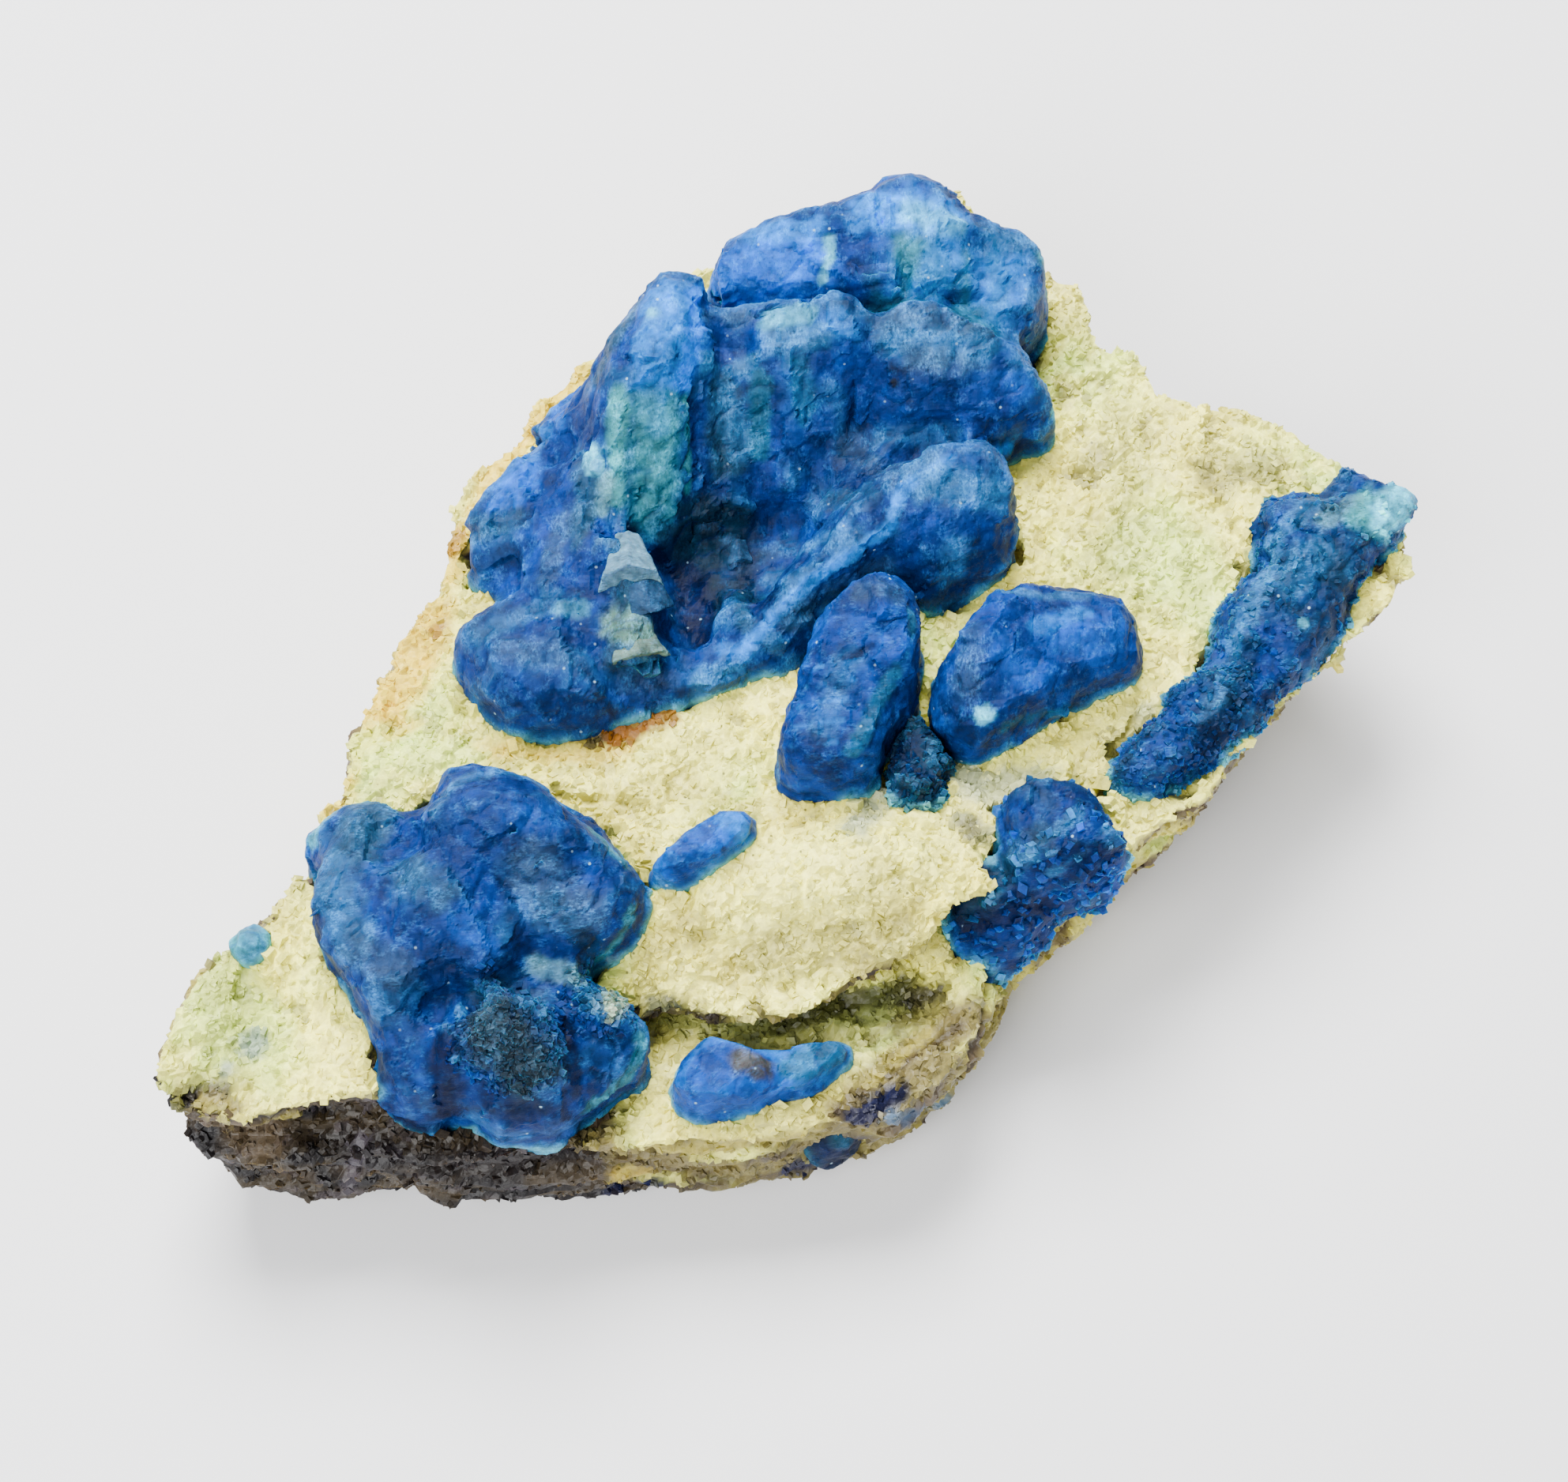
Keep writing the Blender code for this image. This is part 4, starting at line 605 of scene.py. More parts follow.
def lie_between(tree, start, end, sink):
    """The middle, the length and the turn of a bar between two places on a surface, sunk into it."""
    first = seen(tree, *start)
    last = seen(tree, *end)
    run = last - first
    middle = (first + last) / 2 + (first - camera_place).normalized() * sink * MM
    return middle, run.length, run.to_track_quat("Z", "Y").to_euler()


def add_ribs(piece, ribs):
    """Joins tapered bars to a crystal piece: columns, blades and ridges between two places. No sides
    makes a rounded lobe."""
    tree = tree_of(piece)
    for start, end, first_radius, last_radius, sides, sink in ribs:
        middle, length, turn = lie_between(tree, start, end, sink)
        if sides:
            bpy.ops.mesh.primitive_cone_add(vertices=sides, radius1=first_radius * MM,
                                            radius2=last_radius * MM, depth=length,
                                            location=middle, rotation=turn)
        else:
            bpy.ops.mesh.primitive_ico_sphere_add(subdivisions=3, location=middle, rotation=turn,
                                                  scale=(first_radius * MM, last_radius * MM,
                                                         0.5 * length + first_radius * MM))
        rib = bpy.context.object
        pick(piece)
        rib.select_set(True)
        bpy.ops.object.join()


def streaks(places, across, size):
    """Fine parallel lines from about -1 to 1, which follow one another in the direction across."""
    across = np.array(across) / np.linalg.norm(across)
    beyond = np.cross(across, (0.0, 0.0, 1.0))
    beyond /= np.linalg.norm(beyond)
    other = np.cross(across, beyond)
    turned = np.column_stack([places @ across, 0.16 * (places @ beyond), 0.16 * (places @ other)])
    return ripple(turned, size, 21)


def fill_slits(piece, width, voxel):
    """Fills the narrow slits between the parts of a piece: swells it, makes it one, shrinks it back."""
    work(piece, "DISPLACE", strength=width, mid_level=0.0)
    work(piece, "REMESH", mode="VOXEL", voxel_size=voxel)
    work(piece, "SMOOTH", factor=0.5, iterations=1)
    work(piece, "DISPLACE", strength=-width, mid_level=0.0)
    work(piece, "REMESH", mode="VOXEL", voxel_size=voxel)


def faces_of(places, normals, size):
    """Sorts the points of a surface into crystal faces of one size, a number for each point's face."""
    scaled = (places + FACE_LEAN * size * normals) / size + FACE_START
    centres = [tuple(round(value, 3) for value in noise.voronoi(row)[1][0]) for row in scaled.tolist()]
    return np.unique(np.array(centres), axis=0, return_inverse=True)[1].ravel()


def flatten_faces(places, normals, face, amount):
    """Moves the points of each crystal face towards the plane that fits them."""
    count = np.bincount(face)[:, None]
    middle = np.column_stack([np.bincount(face, column) for column in places.T]) / count
    facing = np.column_stack([np.bincount(face, column) for column in normals.T]) / count
    length = np.linalg.norm(facing, axis=1)
    facing /= np.maximum(length, 1e-6)[:, None]
    lift = np.einsum("ij,ij->i", places - middle[face], facing[face]) * amount * length[face] ** 4
    return places - lift[:, None] * facing[face]


def crystal_skin(node_name, name, voxel, coarse, fine, ribs, across, slits, face_size):
    """A crystal piece with its columns and ridges, a spread foot, flat faces and fine lines."""
    piece = copy_of(node_name, name)
    work(piece, "REMESH", mode="VOXEL", voxel_size=voxel)
    if slits:
        fill_slits(piece, slits, voxel)
    add_ribs(piece, ribs)
    work(piece, "REMESH", mode="VOXEL", voxel_size=voxel)
    work(piece, "SMOOTH", factor=0.5, iterations=2)
    places, normals = vectors(piece, "co"), vectors(piece, "normal")
    face = faces_of(places, normals, face_size)
    places = flatten_faces(places, normals, face, FLATTENED)
    gap = np.array([marble_tree.find_nearest(row, 5 * MM)[3] or 5 * MM for row in places.tolist()])
    rise = FOOT_SPREAD * step_up(FOOT_REACH, 0.3 * MM, gap)
    rise += 0.8 * coarse * ripple(places, 1.1 * MM, 12)
    rise += coarse * np.minimum(np.abs(ripple(places, 1.8 * MM, 20)), 0.2) / 0.2
    rise += fine * ripple(places, 0.5 * MM, 13)
    rise += fine * streaks(places, across, 0.45 * MM)
    move_to(piece, places + normals * rise[:, None])
    return piece, gap, face


NAVY = (0.0, 0.003, 0.028)
FROST = (0.015, 0.081, 0.243)
PALE_FOOT = (0.10, 0.30, 0.42)
HUE_SHIFT = (0.85, 1.10, 0.95)
BRIGHTNESS_SHARES = (0.2, 0.6, 0.2)
FACE_TONES = (0.78, 1.25)


def crystal_tint(piece, gap, face, base, deep, light, dabs, frostiness, across):
    """Paints a crystal piece: painted shade in its hollows, frosted on its ridges, pale at its foot, with
    more frost as painted light where it faces up.
    """
    places, normals = vectors(piece, "co"), vectors(piece, "normal")
    hollow = depth_in(piece, 25)
    tint = np.tile(base, (len(places), 1))
    tint = cloud(tint, places, deep, 0.7, -0.2, 0.4, 3.6, 14)
    tint = cloud(tint, places, light, 0.45, 0.0, 0.5, 2.2, 15)
    # Painted shade: the hollows of the crystal turn navy.
    tint = tinge(tint, NAVY, 0.6 * step_up(0.05 * MM, 0.5 * MM, hollow))
    tint = tinge(tint, light, 0.5 * step_up(0.05 * MM, 0.3 * MM, -hollow))
    tree = tree_of(piece)
    for one in dabs:
        tint = dab(tint, places, tree, *one)
    # More painted shade in the deepest hollows, over the dabs.
    tint = tinge(tint, NAVY, 0.4 * step_up(0.15 * MM, 0.6 * MM, hollow))
    growth_lines = step_up(0.06, 0.02, np.abs(ripple(places, 1.8 * MM, 20)))
    tint = tinge(tint, deep, 0.45 * growth_lines)
    patches = step_up(-0.05, 0.3, ripple(places, 1.3 * MM, 22) + 0.5 * streaks(places, across, 0.7 * MM))
    brightness = tint @ np.array(BRIGHTNESS_SHARES)
    face_tone = np.random.default_rng(24).uniform(*FACE_TONES, face.max() + 1)[face]
    tint = tint * (face_tone * (0.8 + 0.35 * patches))[:, None]
    ragged = step_up(-0.4, 0.3, ripple(places, 2.1 * MM, 23))
    ragged *= 0.15 + 0.85 * step_up(0.01, 0.03, brightness)
    tint = tinge(tint, FROST, 0.6 * ragged * step_up(1.3 * MM, 0.5 * MM, gap))
    tint = tinge(tint, PALE_FOOT, 0.75 * ragged * step_up(0.7 * MM, 0.25 * MM, gap))
    frost_and_top_light = frostiness * (0.35 + 1.1 * patches) + 0.35 * step_up(0.0, 0.3 * MM, -hollow)
    # Painted light: faces that turn up to the lamps get more of the light frost flecks.
    frost_and_top_light *= 0.4 + 0.6 * step_up(-0.1, 0.6, normals[:, 2])
    frost_and_top_light *= 0.25 + 0.75 * step_up(0.004, 0.03, brightness)
    frost_and_top_light *= 0.25 + 0.75 * step_up(0.0, 0.012, tint[:, 0])
    frost_and_top_light *= face_tone
    keep_tint(piece, tint * HUE_SHIFT, np.clip(frost_and_top_light, 0, 1))


BLUE_GLOSS = 0.09
BLUE_GLOW = (0.10, 0.5, 1.0)
GLOW_DEPTH = 1.1 * MM
FACET_SIZE = 0.24 * MM
FACET_TILT = 0.26
CLOUD_SIZE = 0.7 * MM
FLECK_SIZE = 0.13 * MM
PATCH_SIZE = 0.75 * MM
GLINT_SPACING = 0.8 * MM
FLECK_GAIN = (1.6, 1.5, 1.15)
FLECK_LIGHT = (0.014, 0.085, 0.22)
GLINT_LIGHT = (0.30, 0.48, 0.62)


def product(finish, first, second):
    """Two values multiplied at each place."""
    made = node(finish, "Math", operation="MULTIPLY")
    join(finish, first, made.inputs[0])
    join(finish, second, made.inputs[1])
    return made.outputs["Value"]


def blend(finish, share, first):
    """A mix of two colours by a share; its second colour is given afterwards."""
    made = node(finish, "Mix", data_type="RGBA")
    join(finish, share, made.inputs["Factor"])
    join(finish, first, made.inputs["A"])
    return made


def frosted(name, roughness, glow, stretch, turn):
    """The matte blue finish: cloudy depth, and streaky light flecks where the skin is frosted, more of them
    as painted light where it faces up.
    """
    finish, shader = stone_finish(name, roughness, BLUE_GLOSS, glow, BLUE_GLOW, GLOW_DEPTH)
    tint = node(finish, "Attribute", attribute_name="tint")
    leaning, _, where = facets(finish, FACET_SIZE, FACET_TILT, 1.0)
    clouding = pattern(finish, "TexNoise", where, CLOUD_SIZE, Detail=5.0, Roughness=0.6)
    cloudy = ranged(finish, clouding.outputs["Fac"], (0.34, 0.66), (0.7, 1.35))
    blue = times(finish, tint.outputs["Color"], cloudy)
    lie = node(finish, "Mapping", vector_type="TEXTURE", Rotation=(0, 0, math.radians(turn)), Scale=stretch)
    join(finish, where, lie.inputs["Vector"])
    flecks = pattern(finish, "TexNoise", lie.outputs["Vector"], FLECK_SIZE, Detail=4.0, Roughness=0.75)
    fleck = flecks.outputs["Fac"]
    spread = pattern(finish, "TexNoise", where, PATCH_SIZE, Detail=4.0, Roughness=0.65)
    frost_and_top_light = node(finish, "Math", operation="ADD", use_clamp=True)
    join(finish, tint.outputs["Alpha"], frost_and_top_light.inputs[0])
    join(finish, ranged(finish, spread.outputs["Fac"], (0.38, 0.62), (-0.7, 0.5)), frost_and_top_light.inputs[1])
    fleck_share = product(finish, ranged(finish, fleck, (0.46, 0.60), (0.0, 0.9)), frost_and_top_light.outputs["Value"])
    lit = ranged(finish, parts_of(finish, tint.outputs["Color"])["Blue"], (0.02, 0.11), (0.15, 1.0))
    pale_blue = node(finish, "VectorMath", operation="MULTIPLY_ADD")
    join(finish, blue, pale_blue.inputs[0])
    pale_blue.inputs[1].default_value = FLECK_GAIN
    pale_blue.inputs[2].default_value = FLECK_LIGHT
    light = blend(finish, product(finish, lit, fleck_share), blue)
    join(finish, pale_blue.outputs["Vector"], light.inputs["B"])
    pits = times(finish, light.outputs["Result"], ranged(finish, fleck, (0.33, 0.43), (0.55, 1.0)))
    glints = pattern(finish, "TexVoronoi", where, GLINT_SPACING)
    near_middle = ranged(finish, glints.outputs["Distance"], (0.05, 0.13), (0.9, 0.0))
    few = ranged(finish, parts_of(finish, glints.outputs["Color"])["Red"], (0.72, 0.95), (0, 1))
    glinting = blend(finish, product(finish, near_middle, few), pits)
    glinting.inputs["B"].default_value = (*GLINT_LIGHT, 1)
    join(finish, glinting.outputs["Result"], shader.inputs["Base Color"])
    skin = node(finish, "Bump", Strength=0.6, Distance=0.06 * MM)
    join(finish, fleck, skin.inputs["Height"])
    join(finish, leaning, skin.inputs["Normal"])
    join(finish, skin.outputs["Normal"], shader.inputs["Normal"])
    return finish


columnar = frosted("columnar_hackmanite", roughness=0.5, glow=0.5, stretch=(1.0, 1.8, 1.8), turn=0)
striated = frosted("striated_hackmanite", roughness=0.5, glow=0.5, stretch=(2.4, 1.0, 1.0), turn=8)
clear_blue = frosted("clear_hackmanite", roughness=0.42, glow=0.6, stretch=(2.2, 1.0, 1.0), turn=35)
ALONG = (0.30, 0.94, 0.25)


def crystal_piece(node_name, name, voxel, relief, colours, frostiness, dabs=(), ribs=(),
                  finish=striated, across=ALONG, slits=0.0, face_size=1.9 * MM):
    """One finished crystal piece in the place of its CAD node."""
    piece, gap, face = crystal_skin(node_name, name, voxel, *relief, ribs, across, slits, face_size)
    crystal_tint(piece, gap, face, *colours, dabs, frostiness, across)
    piece.data.materials.append(finish)
    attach(piece, "root")
    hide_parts(node_name)
    return piece


# The upper cluster is the large intergrown group of hackmanite at the far end, grown from the
# marble: azure back masses, a frosted shelf, a tall left crystal over a teal column, a dark hollow
# and a diagonal ridge.
DOWN_SLOPE = (1.0, 0.15, 0.0)
CAP_BLUE = (0.0, 0.15, 0.85)
AZURE = (0.0, 0.045, 0.30)
BRIGHT_AZURE = (0.0, 0.050, 0.36)
ROYAL = (0.0, 0.018, 0.150)
DEEP = (0.0, 0.010, 0.075)
SKY = (0.0, 0.143, 0.60)
VIOLET_GREY = (0.021, 0.044, 0.112)
TEAL = (0.007, 0.072, 0.157)
SEA_GREEN = (0.036, 0.196, 0.256)
MIST = (0.086, 0.406, 0.66)
CHIP_GREY = (0.089, 0.194, 0.276)
OLIVE = (0.090, 0.151, 0.130)
BLUE_GREY = (0.001, 0.011, 0.031)
STEEL = (0.012, 0.043, 0.100)
DARK_SPECK = (0.001, 0.002, 0.003)
UPPER_RIBS = [
    ((-3.4, 25.4), (7.0, 26.0), 2.5, 2.7, 9, 1.9),
    ((-1.6, 27.6), (5.6, 29.6), 1.5, 1.9, 8, 1.1),
    ((7.0, 26.0), (12.4, 25.2), 2.6, 2.3, 8, 1.9),
    ((8.2, 28.8), (12.8, 27.6), 1.7, 1.2, 7, 1.1),
    ((2.6, 28.6), (2.1, 25.0), 0.35, 0.4, 4, 0.0),
    ((12.9, 27.6), (13.6, 23.0), 0.9, 1.1, 5, 0.5),
    ((-6.6, 24.6), (-7.7, 19.4), 1.5, 2.1, 12, 1.3),
    ((-7.7, 19.4), (-6.9, 17.9), 2.0, 1.2, 12, 1.2),
    ((-5.0, 22.0), (-4.8, 9.6), 0.8, 0.9, 6, -0.5),
    ((-9.6, 17.6), (-9.2, 9.4), 0.8, 1.0, 5, 0.4),
    ((-6.0, 17.4), (-5.8, 8.6), 0.4, 0.5, 4, 0.1),
    ((-3.5, 19.6), (-3.2, 10.6), 1.5, 1.7, 5, 0.9),
    ((0.1, 21.4), (0.0, 11.6), 1.7, 1.5, 6, 1.0),
    ((2.7, 23.0), (2.6, 14.6), 1.2, 1.0, 6, 0.7),
    ((-1.0, 23.0), (1.2, 23.2), 0.9, 0.8, 6, 0.5),
    ((6.2, 21.8), (13.8, 18.6), 1.4, 1.1, 5, 0.9),
    ((6.6, 17.4), (13.8, 16.6), 1.2, 1.0, 5, 0.9),
    ((2.0, 9.0), (6.4, 14.4), 1.0, 1.4, 5, 0.8),
    ((-2.2, 1.6), (1.0, 5.4), 0.45, 0.5, 4, 0.1),
    ((1.0, 5.4), (5.6, 8.9), 0.5, 0.6, 4, 0.1),
    ((5.6, 8.9), (6.6, 11.6), 0.6, 0.6, 4, 0.2),
    ((6.6, 11.6), (12.6, 14.0), 0.6, 0.6, 4, 0.2),
    ((8.2, 11.7), (12.2, 11.0), 1.9, 1.8, 5, 1.4),
    ((9.0, 8.6), (11.6, 7.4), 2.0, 1.9, 6, 1.6),
    ((-8.7, 5.0), (-9.5, 9.2), 1.9, 0.2, 4, -0.3),
    ((-8.8, 5.0), (-8.0, 3.6), 1.8, 1.6, 7, 0.4),
    ((-8.8, 3.4), (-8.5, 0.6), 1.4, 1.7, 6, 0.4),
    ((-2.9, 4.3), (-2.5, 2.7), 0.9, 0.9, 6, -0.1),
    ((-3.2, 8.0), (-2.8, 6.2), 0.9, 0.9, 4, 0.3),
    ((-11.3, 13.4), (-11.8, 5.6), 1.0, 1.6, 5, 0.7),
    ((-14.2, 10.4), (-13.2, 4.0), 1.1, 1.6, 5, 0.7),
    ((-13.4, 7.0), (-10.0, 3.4), 1.4, 1.6, 6, 0.6),
    ((-12.6, 4.6), (-12.8, 1.0), 1.5, 1.4, 6, 0.9),
    ((-17.0, 8.4), (-14.3, 12.8), 1.5, 1.3, 6, 1.0),
    ((-13.8, 14.4), (-11.8, 18.6), 1.2, 1.0, 6, 0.8),
    ((-17.4, 1.2), (-13.4, 4.4), 0.45, 0.45, 4, 0.05),
    ((-17.2, 0.1), (-12.6, 3.6), 0.4, 0.45, 4, 0.05),
    ((-16.6, -1.0), (-12.2, 2.2), 0.4, 0.4, 4, 0.05),
    ((-15.8, -2.0), (-11.8, 1.0), 0.35, 0.4, 4, 0.05),
    ((-4.9, -0.4), (-2.6, 0.4), 1.1, 0.9, 6, 0.6),
]
UPPER_DABS = [
    (AZURE, 1.0, 2.9, (-3.4, 25.2), (1.6, 26.6)),
    (CAP_BLUE, 0.5, 1.7, (-4.2, 25.2), (-1.4, 27.0)),
    (CAP_BLUE, 0.5, 1.5, (0.0, 25.4), (1.2, 27.4)),
    (ROYAL, 0.5, 1.0, (-3.0, 26.6), (-1.0, 25.4)),
    (BRIGHT_AZURE, 0.8, 1.2, (-3.0, 23.9), (1.0, 24.4)),
    (SKY, 0.7, 1.1, (-4.4, 26.9), (-1.6, 28.8), (1.6, 29.0)),
    (VIOLET_GREY, 0.5, 0.7, (-4.6, 24.4), (-4.4, 26.4)),
    (ROYAL, 0.9, 1.3, (4.2, 28.6), (3.8, 24.6)),
    (NAVY, 0.75, 0.7, (3.6, 23.9), (3.9, 26.6)),
    (MIST, 0.8, 0.4, (2.4, 28.4), (2.5, 27.0), (2.0, 25.4)),
    (TEAL, 0.9, 2.6, (6.6, 24.2), (7.4, 27.2)),
    (SEA_GREEN, 0.35, 1.5, (6.8, 27.0), (8.6, 26.2)),
    (AZURE, 0.6, 0.9, (6.0, 25.0), (5.6, 28.0)),
    (SKY, 0.9, 1.9, (4.8, 30.6), (9.4, 30.2)),
    (MIST, 0.45, 1.2, (7.4, 30.2), (9.6, 29.4)),
    (TEAL, 0.9, 2.4, (11.0, 22.6), (11.6, 26.2)),
    (SKY, 0.5, 1.6, (8.0, 24.8), (9.4, 27.6)),
    (SKY, 0.5, 1.9, (12.2, 24.0), (12.8, 26.8)),
    (AZURE, 0.5, 0.8, (11.0, 28.4), (11.2, 24.4)),
    (FROST, 0.8, 1.1, (12.4, 28.6), (14.6, 27.8)),
    (SEA_GREEN, 0.7, 0.7, (14.9, 27.0), (15.2, 23.6)),
    (SKY, 0.8, 2.0, (-7.9, 19.6), (-7.0, 24.0)),
    (SKY, 0.9, 1.2, (-8.6, 24.8), (-5.8, 26.2)),
    (MIST, 0.4, 0.6, (-8.0, 25.4), (-6.4, 26.4)),
    (MIST, 0.7, 0.5, (-7.9, 23.2)),
    (CAP_BLUE, 1.0, 1.2, (-5.3, 24.0), (-5.4, 20.4), (-6.0, 18.8)),
    (STEEL, 0.85, 0.9, (-10.9, 19.0), (-10.0, 21.6), (-8.8, 23.6)),
    (ROYAL, 0.7, 0.6, (-9.7, 19.8), (-8.6, 22.6)),
    (TEAL, 0.95, 2.1, (-7.4, 16.4), (-7.4, 9.6)),
    (SKY, 0.5, 1.1, (-7.6, 17.2), (-7.4, 15.6)),
    (SEA_GREEN, 0.6, 2.0, (-7.5, 16.0), (-7.5, 10.2)),
    (SEA_GREEN, 0.95, 0.9, (-9.7, 17.6), (-9.7, 11.0)),
    (CHIP_GREY, 0.8, 0.8, (-10.3, 12.0), (-10.6, 10.0)),
    (SEA_GREEN, 0.9, 0.4, (-5.9, 17.4), (-5.7, 11.4)),
    (STEEL, 0.7, 1.1, (-7.4, 9.4), (-6.2, 7.6)),
    (STEEL, 0.8, 1.2, (-11.4, 13.0), (-11.4, 8.0)),
    (VIOLET_GREY, 0.6, 1.0, (-12.6, 9.4), (-13.4, 6.0)),
    (ROYAL, 0.8, 0.7, (-12.6, 13.4), (-12.4, 11.0)),
    (ROYAL, 0.7, 0.8, (-11.6, 7.0), (-12.4, 5.4)),
    (MIST, 1.0, 0.7, (-11.1, 13.8), (-11.0, 13.0)),
    (DEEP, 0.8, 1.0, (-4.6, 21.2), (-2.6, 21.0)),
    (VIOLET_GREY, 0.7, 0.7, (-4.8, 23.0), (-2.4, 22.8)),
    (FROST, 0.95, 1.0, (-4.6, 19.7), (-2.2, 19.6)),
    (STEEL, 0.9, 1.6, (-3.8, 17.6), (-3.4, 13.4)),
    (FROST, 0.5, 1.3, (-3.9, 17.6), (-2.6, 14.2)),
    (TEAL, 0.85, 0.9, (-1.6, 18.6), (-1.6, 14.0)),
    (AZURE, 0.5, 1.4, (0.4, 18.4), (0.8, 15.0)),
    (TEAL, 0.6, 1.0, (0.6, 19.6), (1.0, 16.4)),
    (ROYAL, 0.8, 1.0, (2.0, 16.0), (1.6, 12.6)),
    (MIST, 0.5, 1.0, (-1.0, 22.7), (1.0, 23.1)),
    (FROST, 0.95, 1.2, (-0.6, 21.4), (2.0, 21.6)),
    (SKY, 0.5, 1.1, (2.8, 22.8), (3.6, 21.4)),
    (AZURE, 0.9, 1.0, (3.2, 20.8), (3.6, 19.6)),
    (ROYAL, 0.9, 1.6, (4.0, 20.0), (4.4, 16.6)),
    (FROST, 0.85, 1.9, (6.2, 21.8), (10.6, 21.0)),
    (VIOLET_GREY, 0.75, 1.5, (7.6, 20.0), (11.0, 18.8)),
    (VIOLET_GREY, 0.6, 1.0, (5.0, 23.0), (8.4, 23.0), (11.6, 22.2)),
    (AZURE, 0.7, 1.0, (10.8, 18.6), (13.6, 18.4)),
    (ROYAL, 0.9, 2.0, (5.4, 17.2), (9.4, 17.6), (12.6, 16.4)),
    (FROST, 0.45, 1.0, (5.6, 15.0), (9.4, 15.0)),
    (DARK_SPECK, 1.0, 0.35, (6.1, 18.5)),
    (MIST, 0.75, 0.8, (15.2, 16.6), (15.4, 18.6)),
    (DEEP, 0.85, 2.0, (1.4, 14.0), (3.4, 11.8)),
    (VIOLET_GREY, 0.55, 1.5, (3.8, 14.4), (5.8, 12.6)),
    (STEEL, 0.5, 1.4, (1.6, 10.4), (4.4, 11.0)),
    # These dabs paint the dark hollow: its own dark blue grey, with painted shade over it.
    (BLUE_GREY, 1.0, 2.4, (-4.9, 9.4), (-5.0, 3.6)),
    (BLUE_GREY, 0.95, 2.2, (-3.2, 9.4), (-2.2, 4.4)),
    (BLUE_GREY, 1.0, 1.8, (-4.9, 7.6), (-4.6, 3.0)),
    (VIOLET_GREY, 0.5, 0.6, (-4.6, 9.2), (-3.2, 9.8)),
    (NAVY, 0.8, 1.4, (-2.4, 7.0), (-1.0, 4.6)),
    (NAVY, 0.9, 1.5, (-5.4, 5.6), (-5.2, 3.2)),
    (BLUE_GREY, 0.8, 1.2, (-5.0, 10.6), (-3.0, 9.6)),
    (VIOLET_GREY, 0.45, 0.8, (-3.2, 8.0), (-2.6, 6.6)),
    (DEEP, 0.7, 1.4, (-0.2, 9.6), (0.4, 6.6)),
    (STEEL, 0.7, 0.7, (-2.6, 4.2), (-2.3, 2.8)),
    (NAVY, 1.0, 1.5, (-5.4, 5.4), (-4.7, 2.2)),
    (STEEL, 0.8, 1.2, (-9.5, 8.0), (-9.0, 6.0)),
    (ROYAL, 0.9, 0.5, (-10.5, 9.4), (-11.3, 7.4), (-11.5, 5.4)),
    (DEEP, 0.8, 0.35, (-9.0, 9.0), (-7.8, 7.2), (-6.6, 6.0)),
    (STEEL, 0.95, 1.4, (-8.8, 4.7), (-7.4, 4.7)),
    (OLIVE, 0.9, 1.5, (-9.4, 3.0), (-7.8, 2.0)),
    (STEEL, 0.7, 1.3, (-9.4, 0.8), (-7.6, 0.2)),
    (VIOLET_GREY, 0.5, 1.3, (-8.6, -0.8), (-6.8, -1.0)),
    (ROYAL, 0.6, 1.0, (-8.4, -2.2), (-6.4, -1.8)),
    (SKY, 0.85, 0.5, (-2.2, 1.6), (1.0, 5.4), (5.6, 8.9), (6.6, 11.6), (9.0, 13.2), (12.6, 14.2)),
    (FROST, 0.6, 1.2, (-0.6, 5.8), (3.4, 8.6)),
    (VIOLET_GREY, 0.6, 1.2, (0.2, 3.2), (2.6, 5.0), (5.4, 6.6)),
    (BLUE_GREY, 0.6, 0.8, (0.0, 3.0), (3.0, 4.8)),
    (FROST, 0.85, 1.9, (8.4, 11.8), (11.8, 11.0)),
    (ROYAL, 0.8, 1.6, (7.6, 9.4), (12.0, 9.2)),
    (DEEP, 0.95, 2.1, (10.8, 7.0), (7.8, 5.4)),
    (NAVY, 0.6, 0.5, (12.9, 12.4), (13.3, 8.8)),
    (FROST, 0.5, 1.2, (9.4, 7.6), (9.0, 6.0)),
    (FROST, 0.8, 0.9, (-4.8, -0.6), (-2.8, 0.0)),
    (SKY, 0.5, 0.6, (-3.6, 1.4), (-2.4, 1.0)),
    (FROST, 0.6, 1.0, (-16.8, 2.2), (-13.0, 4.4)),
    (VIOLET_GREY, 0.5, 1.2, (-15.4, 1.4), (-12.6, 1.0)),
    (MIST, 0.25, 0.7, (-12.6, 3.9), (-11.4, 3.9)),
    (DEEP, 0.85, 1.7, (-14.0, -1.4), (-11.0, -2.4)),
    (NAVY, 0.7, 0.35, (-11.2, 0.4), (-10.4, -1.2), (-9.2, -3.0)),
    (NAVY, 0.6, 0.35, (-5.7, 1.2), (-5.9, -1.6)),
    (AZURE, 0.8, 1.2, (-16.4, 10.4), (-14.6, 13.0)),
    (CAP_BLUE, 0.4, 1.3, (-16.2, 10.6), (-14.8, 12.8)),
    (CAP_BLUE, 0.3, 1.0, (-13.2, 15.6), (-12.4, 17.6)),
    (STEEL, 0.7, 1.2, (-17.4, 9.0), (-15.2, 9.6)),
    (SKY, 0.35, 0.6, (-16.6, 11.8), (-14.4, 13.6)),
    (DEEP, 0.7, 1.1, (-17.6, 6.8), (-14.6, 7.6)),
    (DEEP, 0.7, 0.7, (-14.4, 9.6), (-13.0, 12.4)),
    (AZURE, 0.7, 1.0, (-13.4, 15.2), (-12.2, 18.0)),
    (SKY, 0.6, 0.7, (-14.8, 13.8), (-13.8, 15.2)),
]
